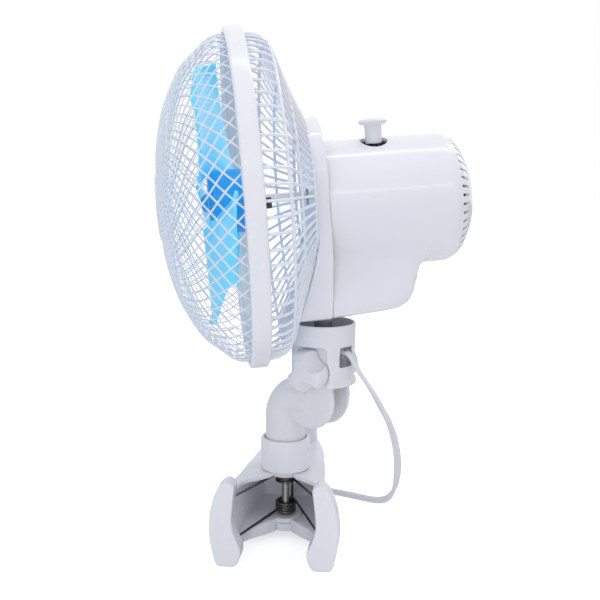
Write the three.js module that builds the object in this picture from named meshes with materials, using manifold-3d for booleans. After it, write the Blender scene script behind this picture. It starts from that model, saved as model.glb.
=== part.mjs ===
import * as THREE from 'three';
import { mergeVertices, mergeGeometries } from 'three/addons/utils/BufferGeometryUtils.js';
import Module from 'manifold-3d';

// A small clip fan. It stands on its open spring clip. A swan-neck arm turns in a socket on the
// clip, a cup tilts on the arm, and the head sweeps on a stem in the cup.
// Sizes are in millimetres, z is up and the floor is at z = 0. The fan blows towards -y.
const wasm = await Module();
wasm.setup();

// Running clearances
const gap = 0.3;
const pivotGap = 0.4;
const overrun = 6;
const weldTolerance = 0.0005;

// Head: the motor axis leans nose down, and its centre is the middle of the guard ring
const ringHeight = 208.6;
const ringForward = 45.8;
const leanDegrees = 4;
const ringRadius = 95;
const ringWidth = 10.2;
const ringWall = 3.3;
const ringEdge = 1.5;
const ringSides = 48;

// Guards: a domed net in front and a ribbed basket behind
const netDepth = 49.2;
const netWire = 2.0;
const netThickness = 1.7;
const netAround = 20;
const netRows = 5;
const netRimDepth = 3.4;
const netProfileShares = [
  [0.19, 0.955], [0.33, 0.94], [0.5, 0.874], [0.61, 0.809], [0.71, 0.722], [0.83, 0.589],
  [0.91, 0.427], [0.985, 0.254], [1, 0.15],
];
const badgeRadius = 19.5;
const badgeThickness = 0.9;
const badgeCrown = 0.5;
const badgeSides = 32;
const badgeShares = [[0, 1], [0.5, 0.8], [0.9, 0], [1, -0.7]];
const netHubRadius = 12;
const basketDepth = 34.6;
const basketThickness = 1.6;
const ribWidth = 2.2;
const hoopWidth = 2.2;
const ribCount = 24;
const basketRowShares = [[1, 0.27], [0.955, 0.515], [0.84, 0.618], [0.68, 0.79], [0.515, 1]];
const basketHoopShares = [0, 0.36, 0.74, 1];
const shaftHoleRadius = 6;
const ringScrewRadius = 3.52;
const ringScrewHead = 1.4;

// Collar between the basket and the motor housing
const collarRear = 43.5;
const collarRadius = 43.8;
const collarDrop = 69.5;
const collarFootHalf = 26;
const collarWaistHalf = 38.5;
const collarWaistDrop = 30;
const collarShoulder = 8;
const collarWall = 1.5;
const collarCorner = 9;

// Motor housing: a barrel with a gearbox bulge below
const barrelRadius = 36.7;
const barrelDrop = 6.7;
const barrelStart = collarRear + gap;
const barrelRear = 129.7;
const barrelRound = 18.7;
const housingWall = 1.8;
const barrelSides = 32;
const rearRoundShares = [
  [1, 0], [0.985, 0.19], [0.918, 0.433], [0.76, 0.668], [0.553, 0.85], [0.25, 0.955], [0, 1],
];
const bulgeHalf = 25;
const bulgeDrop = 69.3;
const bulgeLength = 58;
const bulgeCorner = 9;
const bulgeTopDrop = 20;
const bulgeOutlineShares = [
  [0, 1], [0.58, 0.97], [0.72, 0.955], [0.803, 0.918], [0.85, 0.84], [0.888, 0.747], [0.915, 0.675],
  [0.955, 0.64], [1, 0.63],
];
const ventCount = 12;
const ventWidth = 2.6;
const ventShares = [0.64, 0.84];
const slotHalfWidth = 9;
const slotHalfHeight = 3.4;

// Motor
const shaftRadius = 2.5;
const bushRadius = 5;
const bushLength = 5;
const bracketRadius = 24;
const bracketThickness = 2.2;
const frontBracketPlace = 39.4;
const statorStart = 46.6;
const statorLength = 12;
const statorRadius = 26.5;
const statorBore = 12.6;
const windingLength = 3;
const windingRadius = 17.4;
const windingLap = 2;
const postRadius = 2;
const postCircle = 20;
const rearBracketPlace = 63;
const wormRadius = 3;
const wormStart = 69;
const wormLength = 12;
const rotorGap = 0.4;

// Impeller
const hubRadius = 18;
const hubFront = -20;
const hubLength = 19;
const hubWall = 2;
const hubFaceShare = 0.75;
const hubSides = 28;
const bossRadius = 4.6;
const bladeTip = 74.5;
const bladeCount = 3;
const bladeThickness = 1.8;
const bladeFront = -23;
const bladeRear = -3;
const bladeSpread = 92;
const bladeLean = 14;
const bladeSwellShares = [0.28, 0.62, 0.6];
const bladeTipShare = 0.2;
const bladeCornerShare = 0.7;
const bladeTwistShare = 0.35;
const bladeBowShare = 0.16;
const bladeTaperShare = 0.4;
const bladeRootShare = 0.8;
const nutRadius = 5.2;
const nutLength = 4;
const nutShares = [[0, 1], [0.7, 1], [1, 0.6], [1, 0], [0, 0]];

// Sweep drive: worm wheel, spindle, crank and link
const spindleSide = 11;
const spindleBack = 74.2;
const spindleRadius = 1.9;
const wheelHeight = 6;
const linkDrop = 57;
const crankThickness = 2;
const crankDiscRadius = 6.8;
const crankThrow = 4.2;
const linkThickness = 2.2;
const linkHalfWidth = 2.2;
const linkPinRadius = 1.2;
const linkEyeHalf = 2.6;
const linkSlotAlong = 2.4;
const linkSlotNear = 1.6;
const linkSlotFar = 4.2;
const linkSlotWall = 0.9;
const rockerRadius = 6;
const stemRadius = 5.4;
const stemHoleGap = 1;
const thrustRadius = 9;
const thrustThickness = 1.4;
const stemGap = 1;
const rockerThickness = 2;
const rockerPinHeight = 4.6;
const sleeveRadius = 8.4;
const sleeveHeight = 5;
const knobHoleRadius = 7.7;
const knobHeadRadius = 8;
const knobHeadHeight = 3.2;
const knobHeadShares = [[0, 0], [0.7, 0.12], [1, 0.5], [0.94, 0.85]];
const knobTop = 40.4;
const knobStemRadius = 4.6;
const knobStemLength = 10.6;
const knobBore = 2.4;
const knobTravel = 8;
const knobCapThickness = 0.8;
const strap = 2.4;
const strapDrop = 62.8;
const caseWall = 1.6;
const caseHalfHeight = 7;
const caseFront = 65.6;
const caseRear = 85;
const switchDepth = 11;
const switchWall = 1.6;
const sliderTravel = 5;
const sliderHalfWidth = 3;
const sliderRise = 2.2;

// Cup that tilts, and its pivot
const cupTop = 138;
const cupRadius = 19;
const cupLipRadius = 18.2;
const cupWall = 1.6;
const cupHeight = 36.4;
const cupFloorDrop = 9.6;
const cupFloorThickness = 2.4;
const lipHeight = 3;
const lipBulge = 0.6;
const lipShares = [[0, 1], [1, 0.7], [1, 0.3], [0, 0]];
const cupSides = 36;
const notchShares = [0.9, 0.97];
const lipWall = 0.7;
const tiltDrop = 27.2;
const cheekHalf = 9.5;
const cheekWall = 3;
const clampWall = 1.6;
const notchRadius = 13.6;
const farBossRadius = 11;
const farBossReach = 21;
const boltRadius = 2;
const boltHeadRadius = 4;
const boltHeadLength = 2.6;
const knobRadius = 12;
const knobLobe = 2.2;
const knobLobes = 3;
const knobLength = 8.2;
const boltReachShare = 0.7;
const windowHalf = 4;
const windowTop = 14;
const windowBottom = 24.6;
const sweepNeutralDegrees = -45;

// Swan-neck arm
const armOffset = 28.6;
const neckRadius = 12.25;
const neckBend = 15;
const bendHeight = 76;
const forkRadius = 18.5;
const forkShares = [0.6, 0.667];
const forkBack = 5;
const forkDrop = 18.5;
const cheekRadius = 12;
const neckBottom = 46.4;
const neckCore = 6;

// Clip
const clipDegrees = -14;
const socketRadius = 14.3;
const socketTop = 63;
const plateTop = 43;
const plateThickness = 3;
const plateLow = 13;
const plateSag = 6.5;
const socketFloor = 3;
const axleRadius = 2.3;
const axleHeadRadius = 4.4;
const axleHeadHeight = 2.4;
const nutHeight = 3;
const hubDiscRadius = 13;
const lugRadius = 10;
const lugHalfShare = 0.8;
const wallReachShare = 0.62;
const lugThickness = 2;
const lowHub = 6.2;
const lowHubRadius = 7;
const armWall = 2.6;
const earLength = 12;
const earHeight = 51;
const earReach = 53;
const earSpread = 33.5;
const jawReach = 55;
const padThickness = 2.4;
const padLength = 19;
const channelBackShare = 0.55;
const padMargin = 3;
const pegRadius = 4.4;
const pegTop = 56;
const pegInset = 5;
const plateOuterShares = [[-1, 0.45], [-0.64, 0.6], [-0.1, 0.716], [0.4, 0.8], [0.8, 0.925]];
const plateInnerShares = [[0.8, 0.7], [0.51, 0.64], [0.2, 0.15], [-0.1, 0.02], [-0.62, 0.02]];
const earShares = [
  [0.66, 0.94], [0.77, 1], [0.88, 0.93], [0.965, 0.72], [1, 0.42], [0.97, 0.18], [0.9, 0],
  [0.68, 0], [0.64, 0.06], [0.66, 0.2], [0.71, 0.32], [0.73, 0.5], [0.71, 0.72],
];

// Springs: two torsion springs on the axle
const springWire = 1.3;
const springRadius = 5.7;
const springPitch = 1.8;
const springSteps = 8;
const springEndShare = 0.725;
const upperTurns = 2;
const upperLeft = 37.4;
const upperEnds = [38.2, 38.2];
const lowerTurns = 4;
const lowerLeft = 18.2;
const lowerEnds = [14.8, 20.3];

// Cord, hank and plug. The route is in the fan's own directions, from the cup's window to the hank
const cordDiameter = 4.6;
const cordSides = 8;
const cordSteps = 32;
const cordRoute = [
  [10.9, 10.9, 121.2], [12.2, 12.2, 121.2], [14, 14.8, 118.2], [15.1, 18.2, 111.6], [15.4, 23.8, 103],
  [14.6, 28.4, 95.6], [12.6, 32.8, 87.6], [10, 37.3, 79.6], [6.2, 41.4, 69.6], [1.2, 44.8, 58.4],
  [-5, 47.2, 46.2], [-12.6, 48.6, 34.4], [-22, 49, 23.2], [-33.5, 47.8, 13.6], [-46.5, 44.4, 7.2],
  [-58, 37.6, 4.4], [-67.4, 28.8, 3.6], [-74.8, 18.6, 3.5], [-80.8, 10.2, 3.5],
];
const hankRun = 80;
const hankFold = 13.8;
const hankPitch = 5.15;
const hankLayer = 5.1;
const hankWaist = 4;
const hankLoops = 3;
const hankFloorGap = 1.2;
const hankCentre = [-140.9, -8.4];
const hankDegrees = 169;
const endSteps = 8;
const runSteps = 4;
const loopSides = 6;
const tailBend = 20;
const tailDegrees = 46;
const tieWidth = 7;
const tieThickness = 0.8;
const clampSize = 7;
const clampDepth = 5;
const plugLength = 26;
const plugWidth = 20;
const plugHeight = 17;
const plugNose = 14;
const plugNoseRadius = 4.4;
const plugNeckShare = 0.45;
const pinLength = 16;
const pinWidth = 6.3;
const pinThickness = 1.5;
const pinSpread = 6.35;

const colours = {
  white: { color: 0xf1f3f8, roughness: 0.3, metalness: 0 },
  net: { color: 0xf6f7fb, roughness: 0.35, metalness: 0 },
  blue: { color: 0x35a8e6, roughness: 0.2, metalness: 0 },
  steel: { color: 0x8b8880, roughness: 0.3, metalness: 1 },
  dark: { color: 0x2b2a28, roughness: 0.5, metalness: 0.2 },
  brass: { color: 0xb58a4a, roughness: 0.35, metalness: 1 },
  iron: { color: 0x6c6e72, roughness: 0.5, metalness: 0.8 },
  copper: { color: 0xa8552a, roughness: 0.4, metalness: 0.8 },
  rubber: { color: 0xc9cbd0, roughness: 0.8, metalness: 0 },
};

const materials = {};
for (const [name, values] of Object.entries(colours)) {
  materials[name] = new THREE.MeshStandardMaterial(values);
}

// Shape helpers

function radians(degrees) {
  return THREE.MathUtils.degToRad(degrees);
}

function signedVolume(points, index) {
  let sum = 0;
  for (let i = 0; i < index.length; i += 3) {
    const a = points[index[i]];
    const b = points[index[i + 1]];
    const c = points[index[i + 2]];
    sum += a.dot(b.clone().cross(c)) / 6;
  }
  return sum;
}

// Joins the shared vertices, drops triangles without area and turns the faces outwards
function weld(geometry) {
  const bare = new THREE.BufferGeometry();
  bare.setAttribute('position', geometry.getAttribute('position').clone());
  if (geometry.index) {
    bare.setIndex(geometry.index.clone());
  }
  const merged = mergeVertices(bare, weldTolerance);
  const position = merged.getAttribute('position');
  const points = [];
  for (let i = 0; i < position.count; i += 1) {
    points.push(new THREE.Vector3().fromBufferAttribute(position, i));
  }
  const source = merged.index.array;
  const index = [];
  for (let i = 0; i < source.length; i += 3) {
    const [a, b, c] = [source[i], source[i + 1], source[i + 2]];
    if (a !== b && b !== c && c !== a) {
      index.push(a, b, c);
    }
  }
  if (signedVolume(points, index) < 0) {
    index.reverse();
  }
  merged.setIndex(index);
  return merged;
}

function solid(geometry) {
  const clean = weld(geometry);
  return new wasm.Manifold(new wasm.Mesh({
    numProp: 3,
    vertProperties: new Float32Array(clean.getAttribute('position').array),
    triVerts: new Uint32Array(clean.index.array),
  }));
}

function toGeometry(shape) {
  const mesh = shape.getMesh();
  const geometry = new THREE.BufferGeometry();
  geometry.setAttribute('position', new THREE.BufferAttribute(new Float32Array(mesh.vertProperties), 3));
  geometry.setIndex(new THREE.BufferAttribute(new Uint32Array(mesh.triVerts), 1));
  return geometry;
}

function join(...geometries) {
  return toGeometry(geometries.map(solid).reduce((sum, next) => sum.add(next)));
}

function cut(body, ...tools) {
  return toGeometry(tools.map(solid).reduce((left, next) => left.subtract(next), solid(body)));
}

function common(...geometries) {
  return toGeometry(geometries.map(solid).reduce((left, next) => left.intersect(next)));
}

function box(x0, x1, y0, y1, z0, z1) {
  const geometry = new THREE.BoxGeometry(x1 - x0, y1 - y0, z1 - z0);
  return geometry.translate((x0 + x1) / 2, (y0 + y1) / 2, (z0 + z1) / 2);
}

// A round bar along one axis, from one place to another
function bar(axis, radius, from, to, sides = 20) {
  const geometry = new THREE.CylinderGeometry(radius, radius, to - from, sides);
  geometry.translate(0, (from + to) / 2, 0);
  if (axis === 'z') {
    geometry.rotateX(Math.PI / 2);
  }
  if (axis === 'x') {
    geometry.rotateZ(-Math.PI / 2);
  }
  return geometry;
}

// Turns an outline of [radius, place] pairs about the y or the z axis
function turned(axis, outline, sides, ring = false) {
  const points = outline.map(([radius, place]) => new THREE.Vector2(Math.max(radius, 0), place));
  if (ring) {
    points.push(points[0].clone());
  }
  const geometry = new THREE.LatheGeometry(points, sides);
  if (axis === 'z') {
    geometry.rotateX(Math.PI / 2);
  }
  return weld(geometry);
}

function ringOf(axis, inner, outer, from, to, sides = 24) {
  return turned(axis, [[inner, from], [outer, from], [outer, to], [inner, to]], sides, true);
}

function shapeOf(outline) {
  return new THREE.Shape(outline.map(([x, y]) => new THREE.Vector2(x, y)));
}

// An outline in x and y, raised from one height to another
function raised(outline, from, to) {
  const shape = outline instanceof THREE.Shape ? outline : shapeOf(outline);
  const geometry = new THREE.ExtrudeGeometry(shape, { depth: to - from, bevelEnabled: false });
  return geometry.translate(0, 0, from);
}

// An outline in x and z, carried along y
function drawnAlongY(outline, from, to) {
  const geometry = raised(outline, -to, -from);
  return geometry.rotateX(Math.PI / 2);
}

// An outline in y and z, carried along x
function drawnAlongX(outline, from, to) {
  const geometry = raised(outline, from, to);
  return geometry.rotateY(Math.PI / 2).rotateX(Math.PI / 2);
}

function arcPoints(x, y, radius, fromDegrees, toDegrees, steps) {
  const points = [];
  for (let i = 0; i <= steps; i += 1) {
    const angle = radians(fromDegrees + ((toDegrees - fromDegrees) * i) / steps);
    points.push([x + radius * Math.cos(angle), y + radius * Math.sin(angle)]);
  }
  return points;
}

// A closed tube through a list of points
function tube(points, radius, sides, up = new THREE.Vector3(0, 0, 1)) {
  const positions = [];
  const index = [];
  points.forEach((point, i) => {
    const before = points[Math.max(i - 1, 0)];
    const after = points[Math.min(i + 1, points.length - 1)];
    const along = after.clone().sub(before).normalize();
    const side = along.clone().cross(up).normalize();
    const top = side.clone().cross(along);
    for (let j = 0; j < sides; j += 1) {
      const angle = (2 * Math.PI * j) / sides;
      const out = side.clone().multiplyScalar(radius * Math.cos(angle));
      out.addScaledVector(top, radius * Math.sin(angle));
      positions.push(...point.clone().add(out).toArray());
    }
  });
  for (let i = 0; i < points.length - 1; i += 1) {
    for (let j = 0; j < sides; j += 1) {
      const a = i * sides + j;
      const b = i * sides + ((j + 1) % sides);
      index.push(a, b, b + sides, a, b + sides, a + sides);
    }
  }
  const last = (points.length - 1) * sides;
  for (let j = 1; j < sides - 1; j += 1) {
    index.push(0, j + 1, j, last, last + j, last + j + 1);
  }
  const geometry = new THREE.BufferGeometry();
  geometry.setAttribute('position', new THREE.Float32BufferAttribute(positions, 3));
  geometry.setIndex(index);
  return weld(geometry);
}

// The least distance between parts of one path that are not neighbours along it
function leastSelfGap(points, diameter) {
  let least = Infinity;
  let travelled = [0];
  for (let i = 1; i < points.length; i += 1) {
    travelled.push(travelled[i - 1] + points[i].distanceTo(points[i - 1]));
  }
  for (let i = 0; i < points.length; i += 1) {
    for (let j = i + 1; j < points.length; j += 1) {
      if (travelled[j] - travelled[i] > 3 * diameter) {
        least = Math.min(least, points[i].distanceTo(points[j]) - diameter);
      }
    }
  }
  return least;
}

const fan = new THREE.Group();

function addMesh(group, name, geometry, material) {
  const flat = weld(geometry).toNonIndexed();
  flat.computeVertexNormals();
  const mesh = new THREE.Mesh(flat, materials[material]);
  mesh.name = name;
  group.add(mesh);
  return mesh;
}

function groupAt(parent, x, y, z) {
  const group = new THREE.Group();
  group.position.set(x, y, z);
  parent.add(group);
  return group;
}

const head = groupAt(fan, 0, -ringForward, ringHeight);
head.rotation.x = radians(leanDegrees);
const sweep = groupAt(fan, 0, 0, 0);
const cup = groupAt(fan, 0, 0, cupTop - tiltDrop);
cup.rotation.z = radians(sweepNeutralDegrees);
const arm = groupAt(fan, 0, 0, 0);
arm.rotation.z = radians(sweepNeutralDegrees);
const clipTurn = radians(sweepNeutralDegrees);
const clip = groupAt(fan, armOffset * Math.sin(clipTurn), -armOffset * Math.cos(clipTurn), 0);
clip.rotation.z = radians(clipDegrees);

// Where the vertical sweep axis crosses the head, as a distance back along the motor axis
const lean = radians(leanDegrees);

function sweepBack(drop) {
  return ringForward / Math.cos(lean) - drop * Math.tan(lean);
}

// A bar along the sweep axis, in the head's own directions
function sweepBar(radius, from, to, sides = 24) {
  const geometry = bar('z', radius, from, to, sides);
  geometry.translate(0, ringForward, -ringHeight);
  return geometry.rotateX(-lean);
}

// Guard shells: a turned profile with a hole in each cell
function profileCurve(pairs) {
  const curve = new THREE.SplineCurve(pairs.map(([radius, place]) => new THREE.Vector2(radius, place)));
  curve.arcLengthDivisions = 400;
  return curve;
}

function insetPolygon(corners, margins) {
  const count = corners.length;
  const lines = corners.map((corner, i) => {
    const next = corners[(i + 1) % count];
    const along = next.clone().sub(corner).normalize();
    const inward = new THREE.Vector2(along.y, -along.x);
    return { start: corner.clone().addScaledVector(inward, margins[i]), along };
  });
  return lines.map((line, i) => {
    const before = lines[(i + count - 1) % count];
    const cross = before.along.x * line.along.y - before.along.y * line.along.x;
    const apart = line.start.clone().sub(before.start);
    const reach = (apart.x * line.along.y - apart.y * line.along.x) / cross;
    return before.start.clone().addScaledVector(before.along, reach);
  });
}

function guardShell({ curve, rows, around, thickness, margins, staggered, inner, outer }) {
  const length = curve.getLength();
  const step = (2 * Math.PI) / around;
  const positions = [];
  const quads = [];

  function surface(place, angle, side) {
    const share = THREE.MathUtils.clamp(place / length, 0, 1);
    const point = curve.getPointAt(share);
    const tangent = curve.getTangentAt(share);
    const radius = point.x + (side * tangent.y * thickness) / 2;
    const depth = point.y - (side * tangent.x * thickness) / 2;
    return new THREE.Vector3(radius * Math.sin(angle), depth, radius * Math.cos(angle));
  }

  function edge(pair, angle, side) {
    const [radius, depth, normalRadius, normalDepth] = pair;
    const r = radius + (side * normalRadius * thickness) / 2;
    const d = depth + (side * normalDepth * thickness) / 2;
    return new THREE.Vector3(r * Math.sin(angle), d, r * Math.cos(angle));
  }

  function face(points) {
    for (let i = 1; i < points.length - 1; i += 1) {
      quads.push([points[0], points[i], points[i + 1]]);
    }
  }

  function stagger(row) {
    return staggered && row % 2 === 1 ? step / 2 : 0;
  }

  function cell(corners, cellMargins) {
    const middle = corners.reduce((sum, corner) => sum + corner[0], 0) / corners.length;
    const radius = curve.getPointAt(middle / length).x;
    const flat = corners.map(([place, angle]) => new THREE.Vector2(place, angle * radius));
    const hole = insetPolygon(flat, cellMargins).map((point) => [point.x, point.y / radius]);
    const count = corners.length;
    for (let i = 0; i < count; i += 1) {
      const j = (i + 1) % count;
      const [ci, cj, hi, hj] = [corners[i], corners[j], hole[i], hole[j]];
      face([surface(...ci, 1), surface(...cj, 1), surface(...hj, 1), surface(...hi, 1)]);
      face([surface(...ci, -1), surface(...hi, -1), surface(...hj, -1), surface(...cj, -1)]);
      face([surface(...hi, 1), surface(...hj, 1), surface(...hj, -1), surface(...hi, -1)]);
    }
  }

  const last = rows.length - 1;
  for (let k = 0; k < around; k += 1) {
    if (staggered) {
      const base = stagger(0) + k * step;
      const start = [[rows[0], base], [rows[0], base + step], [rows[1], base + step / 2]];
      cell(start, [margins[0], margins[1], margins[1]]);
      for (let j = 1; j < last; j += 1) {
        const mid = stagger(j - 1) + k * step;
        const corners = [
          [rows[j - 1], mid], [rows[j], mid + step / 2], [rows[j + 1], mid], [rows[j], mid - step / 2],
        ];
        cell(corners, [margins[1], margins[1], margins[1], margins[1]]);
      }
      const rim = stagger(last) + k * step;
      const tip = [rows[last - 1], rim + step / 2];
      cell([tip, [rows[last], rim + step], [rows[last], rim]], [margins[1], margins[0], margins[1]]);
    } else {
      for (let j = 0; j < last; j += 1) {
        const at = k * step;
        const corners = [[rows[j], at], [rows[j], at + step], [rows[j + 1], at + step], [rows[j + 1], at]];
        cell(corners, [margins[0], margins[1], margins[0], margins[1]]);
      }
    }
  }

  // Plain bands carry the cells to the inner and outer edges
  function band(rowA, rowB, turn) {
    for (let k = 0; k < around; k += 1) {
      const [a, b] = [turn + k * step, turn + (k + 1) * step];
      face([rowA(a, 1), rowA(b, 1), rowB(b, 1), rowB(a, 1)]);
      face([rowA(a, -1), rowB(a, -1), rowB(b, -1), rowA(b, -1)]);
    }
  }

  function close(row, turn, outward) {
    for (let k = 0; k < around; k += 1) {
      const [a, b] = [turn + k * step, turn + (k + 1) * step];
      if (outward) {
        face([row(a, 1), row(b, 1), row(b, -1), row(a, -1)]);
      } else {
        face([row(b, 1), row(a, 1), row(a, -1), row(b, -1)]);
      }
    }
  }

  const firstRow = (angle, side) => surface(rows[0], angle, side);
  const lastRow = (angle, side) => surface(rows[last], angle, side);
  const innerRow = (angle, side) => edge(inner, angle, side);
  const outerRow = (angle, side) => edge(outer, angle, side);
  band(innerRow, firstRow, stagger(0));
  band(lastRow, outerRow, stagger(last));
  close(innerRow, stagger(0), false);
  close(outerRow, stagger(last), true);

  for (const triangle of quads) {
    for (const point of triangle) {
      positions.push(point.x, point.y, point.z);
    }
  }
  const geometry = new THREE.BufferGeometry();
  geometry.setAttribute('position', new THREE.Float32BufferAttribute(positions, 3));
  return weld(geometry);
}

const ringInner = ringRadius - ringWall;
const guardRadius = ringInner - gap - netThickness / 2;

function guardRing() {
  const half = ringWidth / 2;
  return turned('y', [
    [ringInner, -half], [ringRadius - ringEdge, -half], [ringRadius, -half + ringEdge],
    [ringRadius, half - ringEdge], [ringRadius - ringEdge, half], [ringInner, half],
  ], ringSides, true);
}

function frontGrille() {
  const pairs = netProfileShares.map(([radial, axial]) => [radial * guardRadius, -axial * netDepth]);
  const curve = profileCurve(pairs);
  const length = curve.getLength();
  const rows = [];
  for (let j = 0; j <= netRows; j += 1) {
    rows.push((length * j) / netRows);
  }
  return guardShell({
    curve, rows, around: netAround, thickness: netThickness, margins: [netWire / 2, netWire / 2],
    staggered: true,
    inner: [netHubRadius, pairs[0][1], 0, -1],
    outer: [guardRadius, -netRimDepth, 1, 0],
  });
}

const basketPairs = basketRowShares.map(([radial, axial]) => [
  radial * (ringInner - gap - basketThickness / 2), axial * basketDepth,
]);

function rearGrille() {
  const curve = profileCurve([...basketPairs].reverse());
  const length = curve.getLength();
  const rows = basketHoopShares.map((share) => share * length);
  return guardShell({
    curve, rows, around: ribCount, thickness: basketThickness, margins: [hoopWidth / 2, ribWidth / 2],
    staggered: false,
    inner: [shaftHoleRadius, basketDepth, 0, 1],
    outer: [basketPairs[0][0], netRimDepth, -1, 0],
  });
}


addMesh(head, 'guard_ring', guardRing(), 'white');
addMesh(head, 'front_grille', frontGrille(), 'net');
addMesh(head, 'rear_grille', rearGrille().rotateY(Math.PI / ribCount), 'white');

const badgeBack = -netProfileShares[0][1] * netDepth - netThickness / 2 - gap;
const badgeFace = badgeBack - badgeThickness;
const badgeOutline = badgeShares.map(([radial, crown]) => [
  radial * badgeRadius, badgeFace - crown * badgeCrown,
]);
addMesh(head, 'grille_badge', turned('y', [
  ...badgeOutline, [badgeRadius, badgeBack], [0, badgeBack],
], badgeSides), 'white');

// The screw that closes the guard ring, at its foot
const screwPlace = groupAt(head, 0, 0, 0);
screwPlace.rotation.x = Math.PI;
const screwStart = ringRadius + gap;
const screwHead = bar('z', ringScrewRadius, screwStart, screwStart + ringScrewHead, 16);
addMesh(screwPlace, 'ring_screw', screwHead, 'steel');

// The collar follows the slope of the basket
function collarOutline(inset) {
  const half = collarWaistHalf - inset;
  const foot = collarFootHalf - inset;
  const corner = collarCorner - inset;
  const bottom = -collarDrop + inset;
  const crown = arcPoints(0, 0, 1, 0, 180, 14).map(([x, z]) => [
    x * half, collarShoulder + z * (collarRadius - inset - collarShoulder),
  ]);
  return [
    ...crown, [-half, -collarWaistDrop],
    ...arcPoints(-foot + corner, bottom + corner, corner, 180, 270, 4),
    ...arcPoints(foot - corner, bottom + corner, corner, 270, 360, 4),
    [half, -collarWaistDrop],
  ];
}

function basketSide(offset) {
  const outer = basketPairs[0][0] + overrun;
  const slope = basketPairs.map(([radius, place]) => [radius, place + offset]);
  return turned('y', [
    [0, -overrun], [outer, -overrun], [outer, slope[0][1]], ...slope, [0, basketDepth + offset],
  ], ringSides);
}

const basketClear = 1.25 * (basketThickness / 2 + gap);
const stemHole = sweepBar(stemRadius + stemHoleGap, 0, cupTop + 3 * overrun);
const linkReach = Math.hypot(rockerRadius + linkSlotAlong + linkSlotWall, linkSlotFar + linkSlotWall);
const linkPocket = sweepBar(linkReach + pivotGap, cupTop + 2 * overrun, cupTop + 3.4 * overrun);
const collarBlock = cut(drawnAlongY(collarOutline(0), 0, collarRear), basketSide(basketClear));
const collarHollow = cut(
  drawnAlongY(collarOutline(collarWall), 0, collarRear + overrun),
  basketSide(basketClear + collarWall),
);
addMesh(head, 'front_collar', cut(
  collarBlock, collarHollow, stemHole, linkPocket, bar('y', shaftHoleRadius, 0, collarRear),
), 'white');

// Housing
function barrel(inset) {
  const radius = barrelRadius - inset;
  const round = rearRoundShares.map(([radial, axial]) => [
    radial * radius, barrelRear - inset - barrelRound * (1 - axial),
  ]);
  const start = barrelStart - (inset > 0 ? overrun : 0);
  const geometry = turned('y', [[0, start], [radius, start], ...round], barrelSides);
  return geometry.translate(0, 0, -barrelDrop);
}

function bulge(inset) {
  const start = barrelStart - (inset > 0 ? overrun : 0);
  const side = bulgeOutlineShares.map(([along, down]) => [
    barrelStart + along * (bulgeLength - inset), -down * bulgeDrop + inset,
  ]);
  const end = side[side.length - 1][0];
  side[0][0] = start;
  const half = bulgeHalf - inset;
  const corner = bulgeCorner - inset;
  const bottom = -bulgeDrop + inset;
  const section = [
    [half, -bulgeTopDrop], [-half, -bulgeTopDrop],
    ...arcPoints(-half + corner, bottom + corner, corner, 180, 270, 4),
    ...arcPoints(half - corner, bottom + corner, corner, 270, 360, 4),
  ];
  return common(
    drawnAlongX([[end, -bulgeTopDrop], [start, -bulgeTopDrop], ...side], -bulgeHalf, bulgeHalf),
    drawnAlongY(section, start, end),
  );
}

const vents = [];
for (let k = 0; k < ventCount; k += 1) {
  const vent = box(
    -ventWidth / 2, ventWidth / 2, barrelRear - barrelRound, barrelRear + overrun,
    ventShares[0] * barrelRadius, ventShares[1] * barrelRadius,
  );
  vent.rotateY((2 * Math.PI * (k + 0.5)) / ventCount);
  vents.push(vent.translate(0, 0, -barrelDrop));
}
const knobHole = bar('z', knobHoleRadius, 0, barrelRadius, 24);
knobHole.translate(spindleSide, spindleBack, 0);
function slotBox(halfWidth, halfHeight, from, to) {
  return box(-halfWidth, halfWidth, from, to, -barrelDrop - halfHeight, -barrelDrop + halfHeight);
}
const switchSlot = slotBox(slotHalfWidth, slotHalfHeight, barrelRear - barrelRound, barrelRear + overrun);
addMesh(head, 'motor_housing', cut(
  join(barrel(0), bulge(0)), join(barrel(housingWall), bulge(housingWall)),
  stemHole, knobHole, switchSlot, mergeGeometries(vents.map((vent) => vent.toNonIndexed())),
), 'white');

// Motor
function posts(radius, from, to, sides = 8) {
  return [45, 225].map((degrees) => {
    const post = bar('y', radius, from, to, sides);
    const angle = radians(degrees);
    return post.translate(postCircle * Math.cos(angle), 0, postCircle * Math.sin(angle));
  });
}

function bracket(from) {
  const plate = bar('y', bracketRadius, from, from + bracketThickness, 24);
  return cut(plate, bar('y', bushRadius + gap, 0, barrelRear));
}

const rearBracketEnd = rearBracketPlace + bracketThickness;
addMesh(head, 'front_bracket', bracket(frontBracketPlace), 'iron');
addMesh(head, 'rear_bracket', bracket(rearBracketPlace), 'iron');
addMesh(head, 'front_bush', ringOf(
  'y', shaftRadius + gap, bushRadius, frontBracketPlace, frontBracketPlace + bushLength, 16,
), 'brass');
addMesh(head, 'rear_bush', ringOf(
  'y', shaftRadius + gap, bushRadius, rearBracketEnd - bushLength, rearBracketEnd, 16,
), 'brass');
addMesh(head, 'stator_core', cut(
  ringOf('y', statorBore, statorRadius, statorStart, statorStart + statorLength, 28),
  ...posts(postRadius + gap, 0, barrelRear),
), 'iron');
const statorEnd = statorStart + statorLength;
addMesh(head, 'winding_front', ringOf(
  'y', statorBore + windingLap, windingRadius, statorStart - gap - windingLength, statorStart - gap, 20,
), 'copper');
addMesh(head, 'winding_rear', ringOf(
  'y', statorBore + windingLap, windingRadius, statorEnd + gap, statorEnd + gap + windingLength, 20,
), 'copper');
posts(postRadius, frontBracketPlace + bracketThickness + gap, rearBracketPlace - gap).forEach((bolt, k) => {
  addMesh(head, `motor_bolt_${k + 1}`, bolt, 'steel');
});
addMesh(head, 'rotor_core', ringOf(
  'y', shaftRadius + gap, statorBore - rotorGap, statorStart, statorEnd, 24,
), 'iron');
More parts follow.
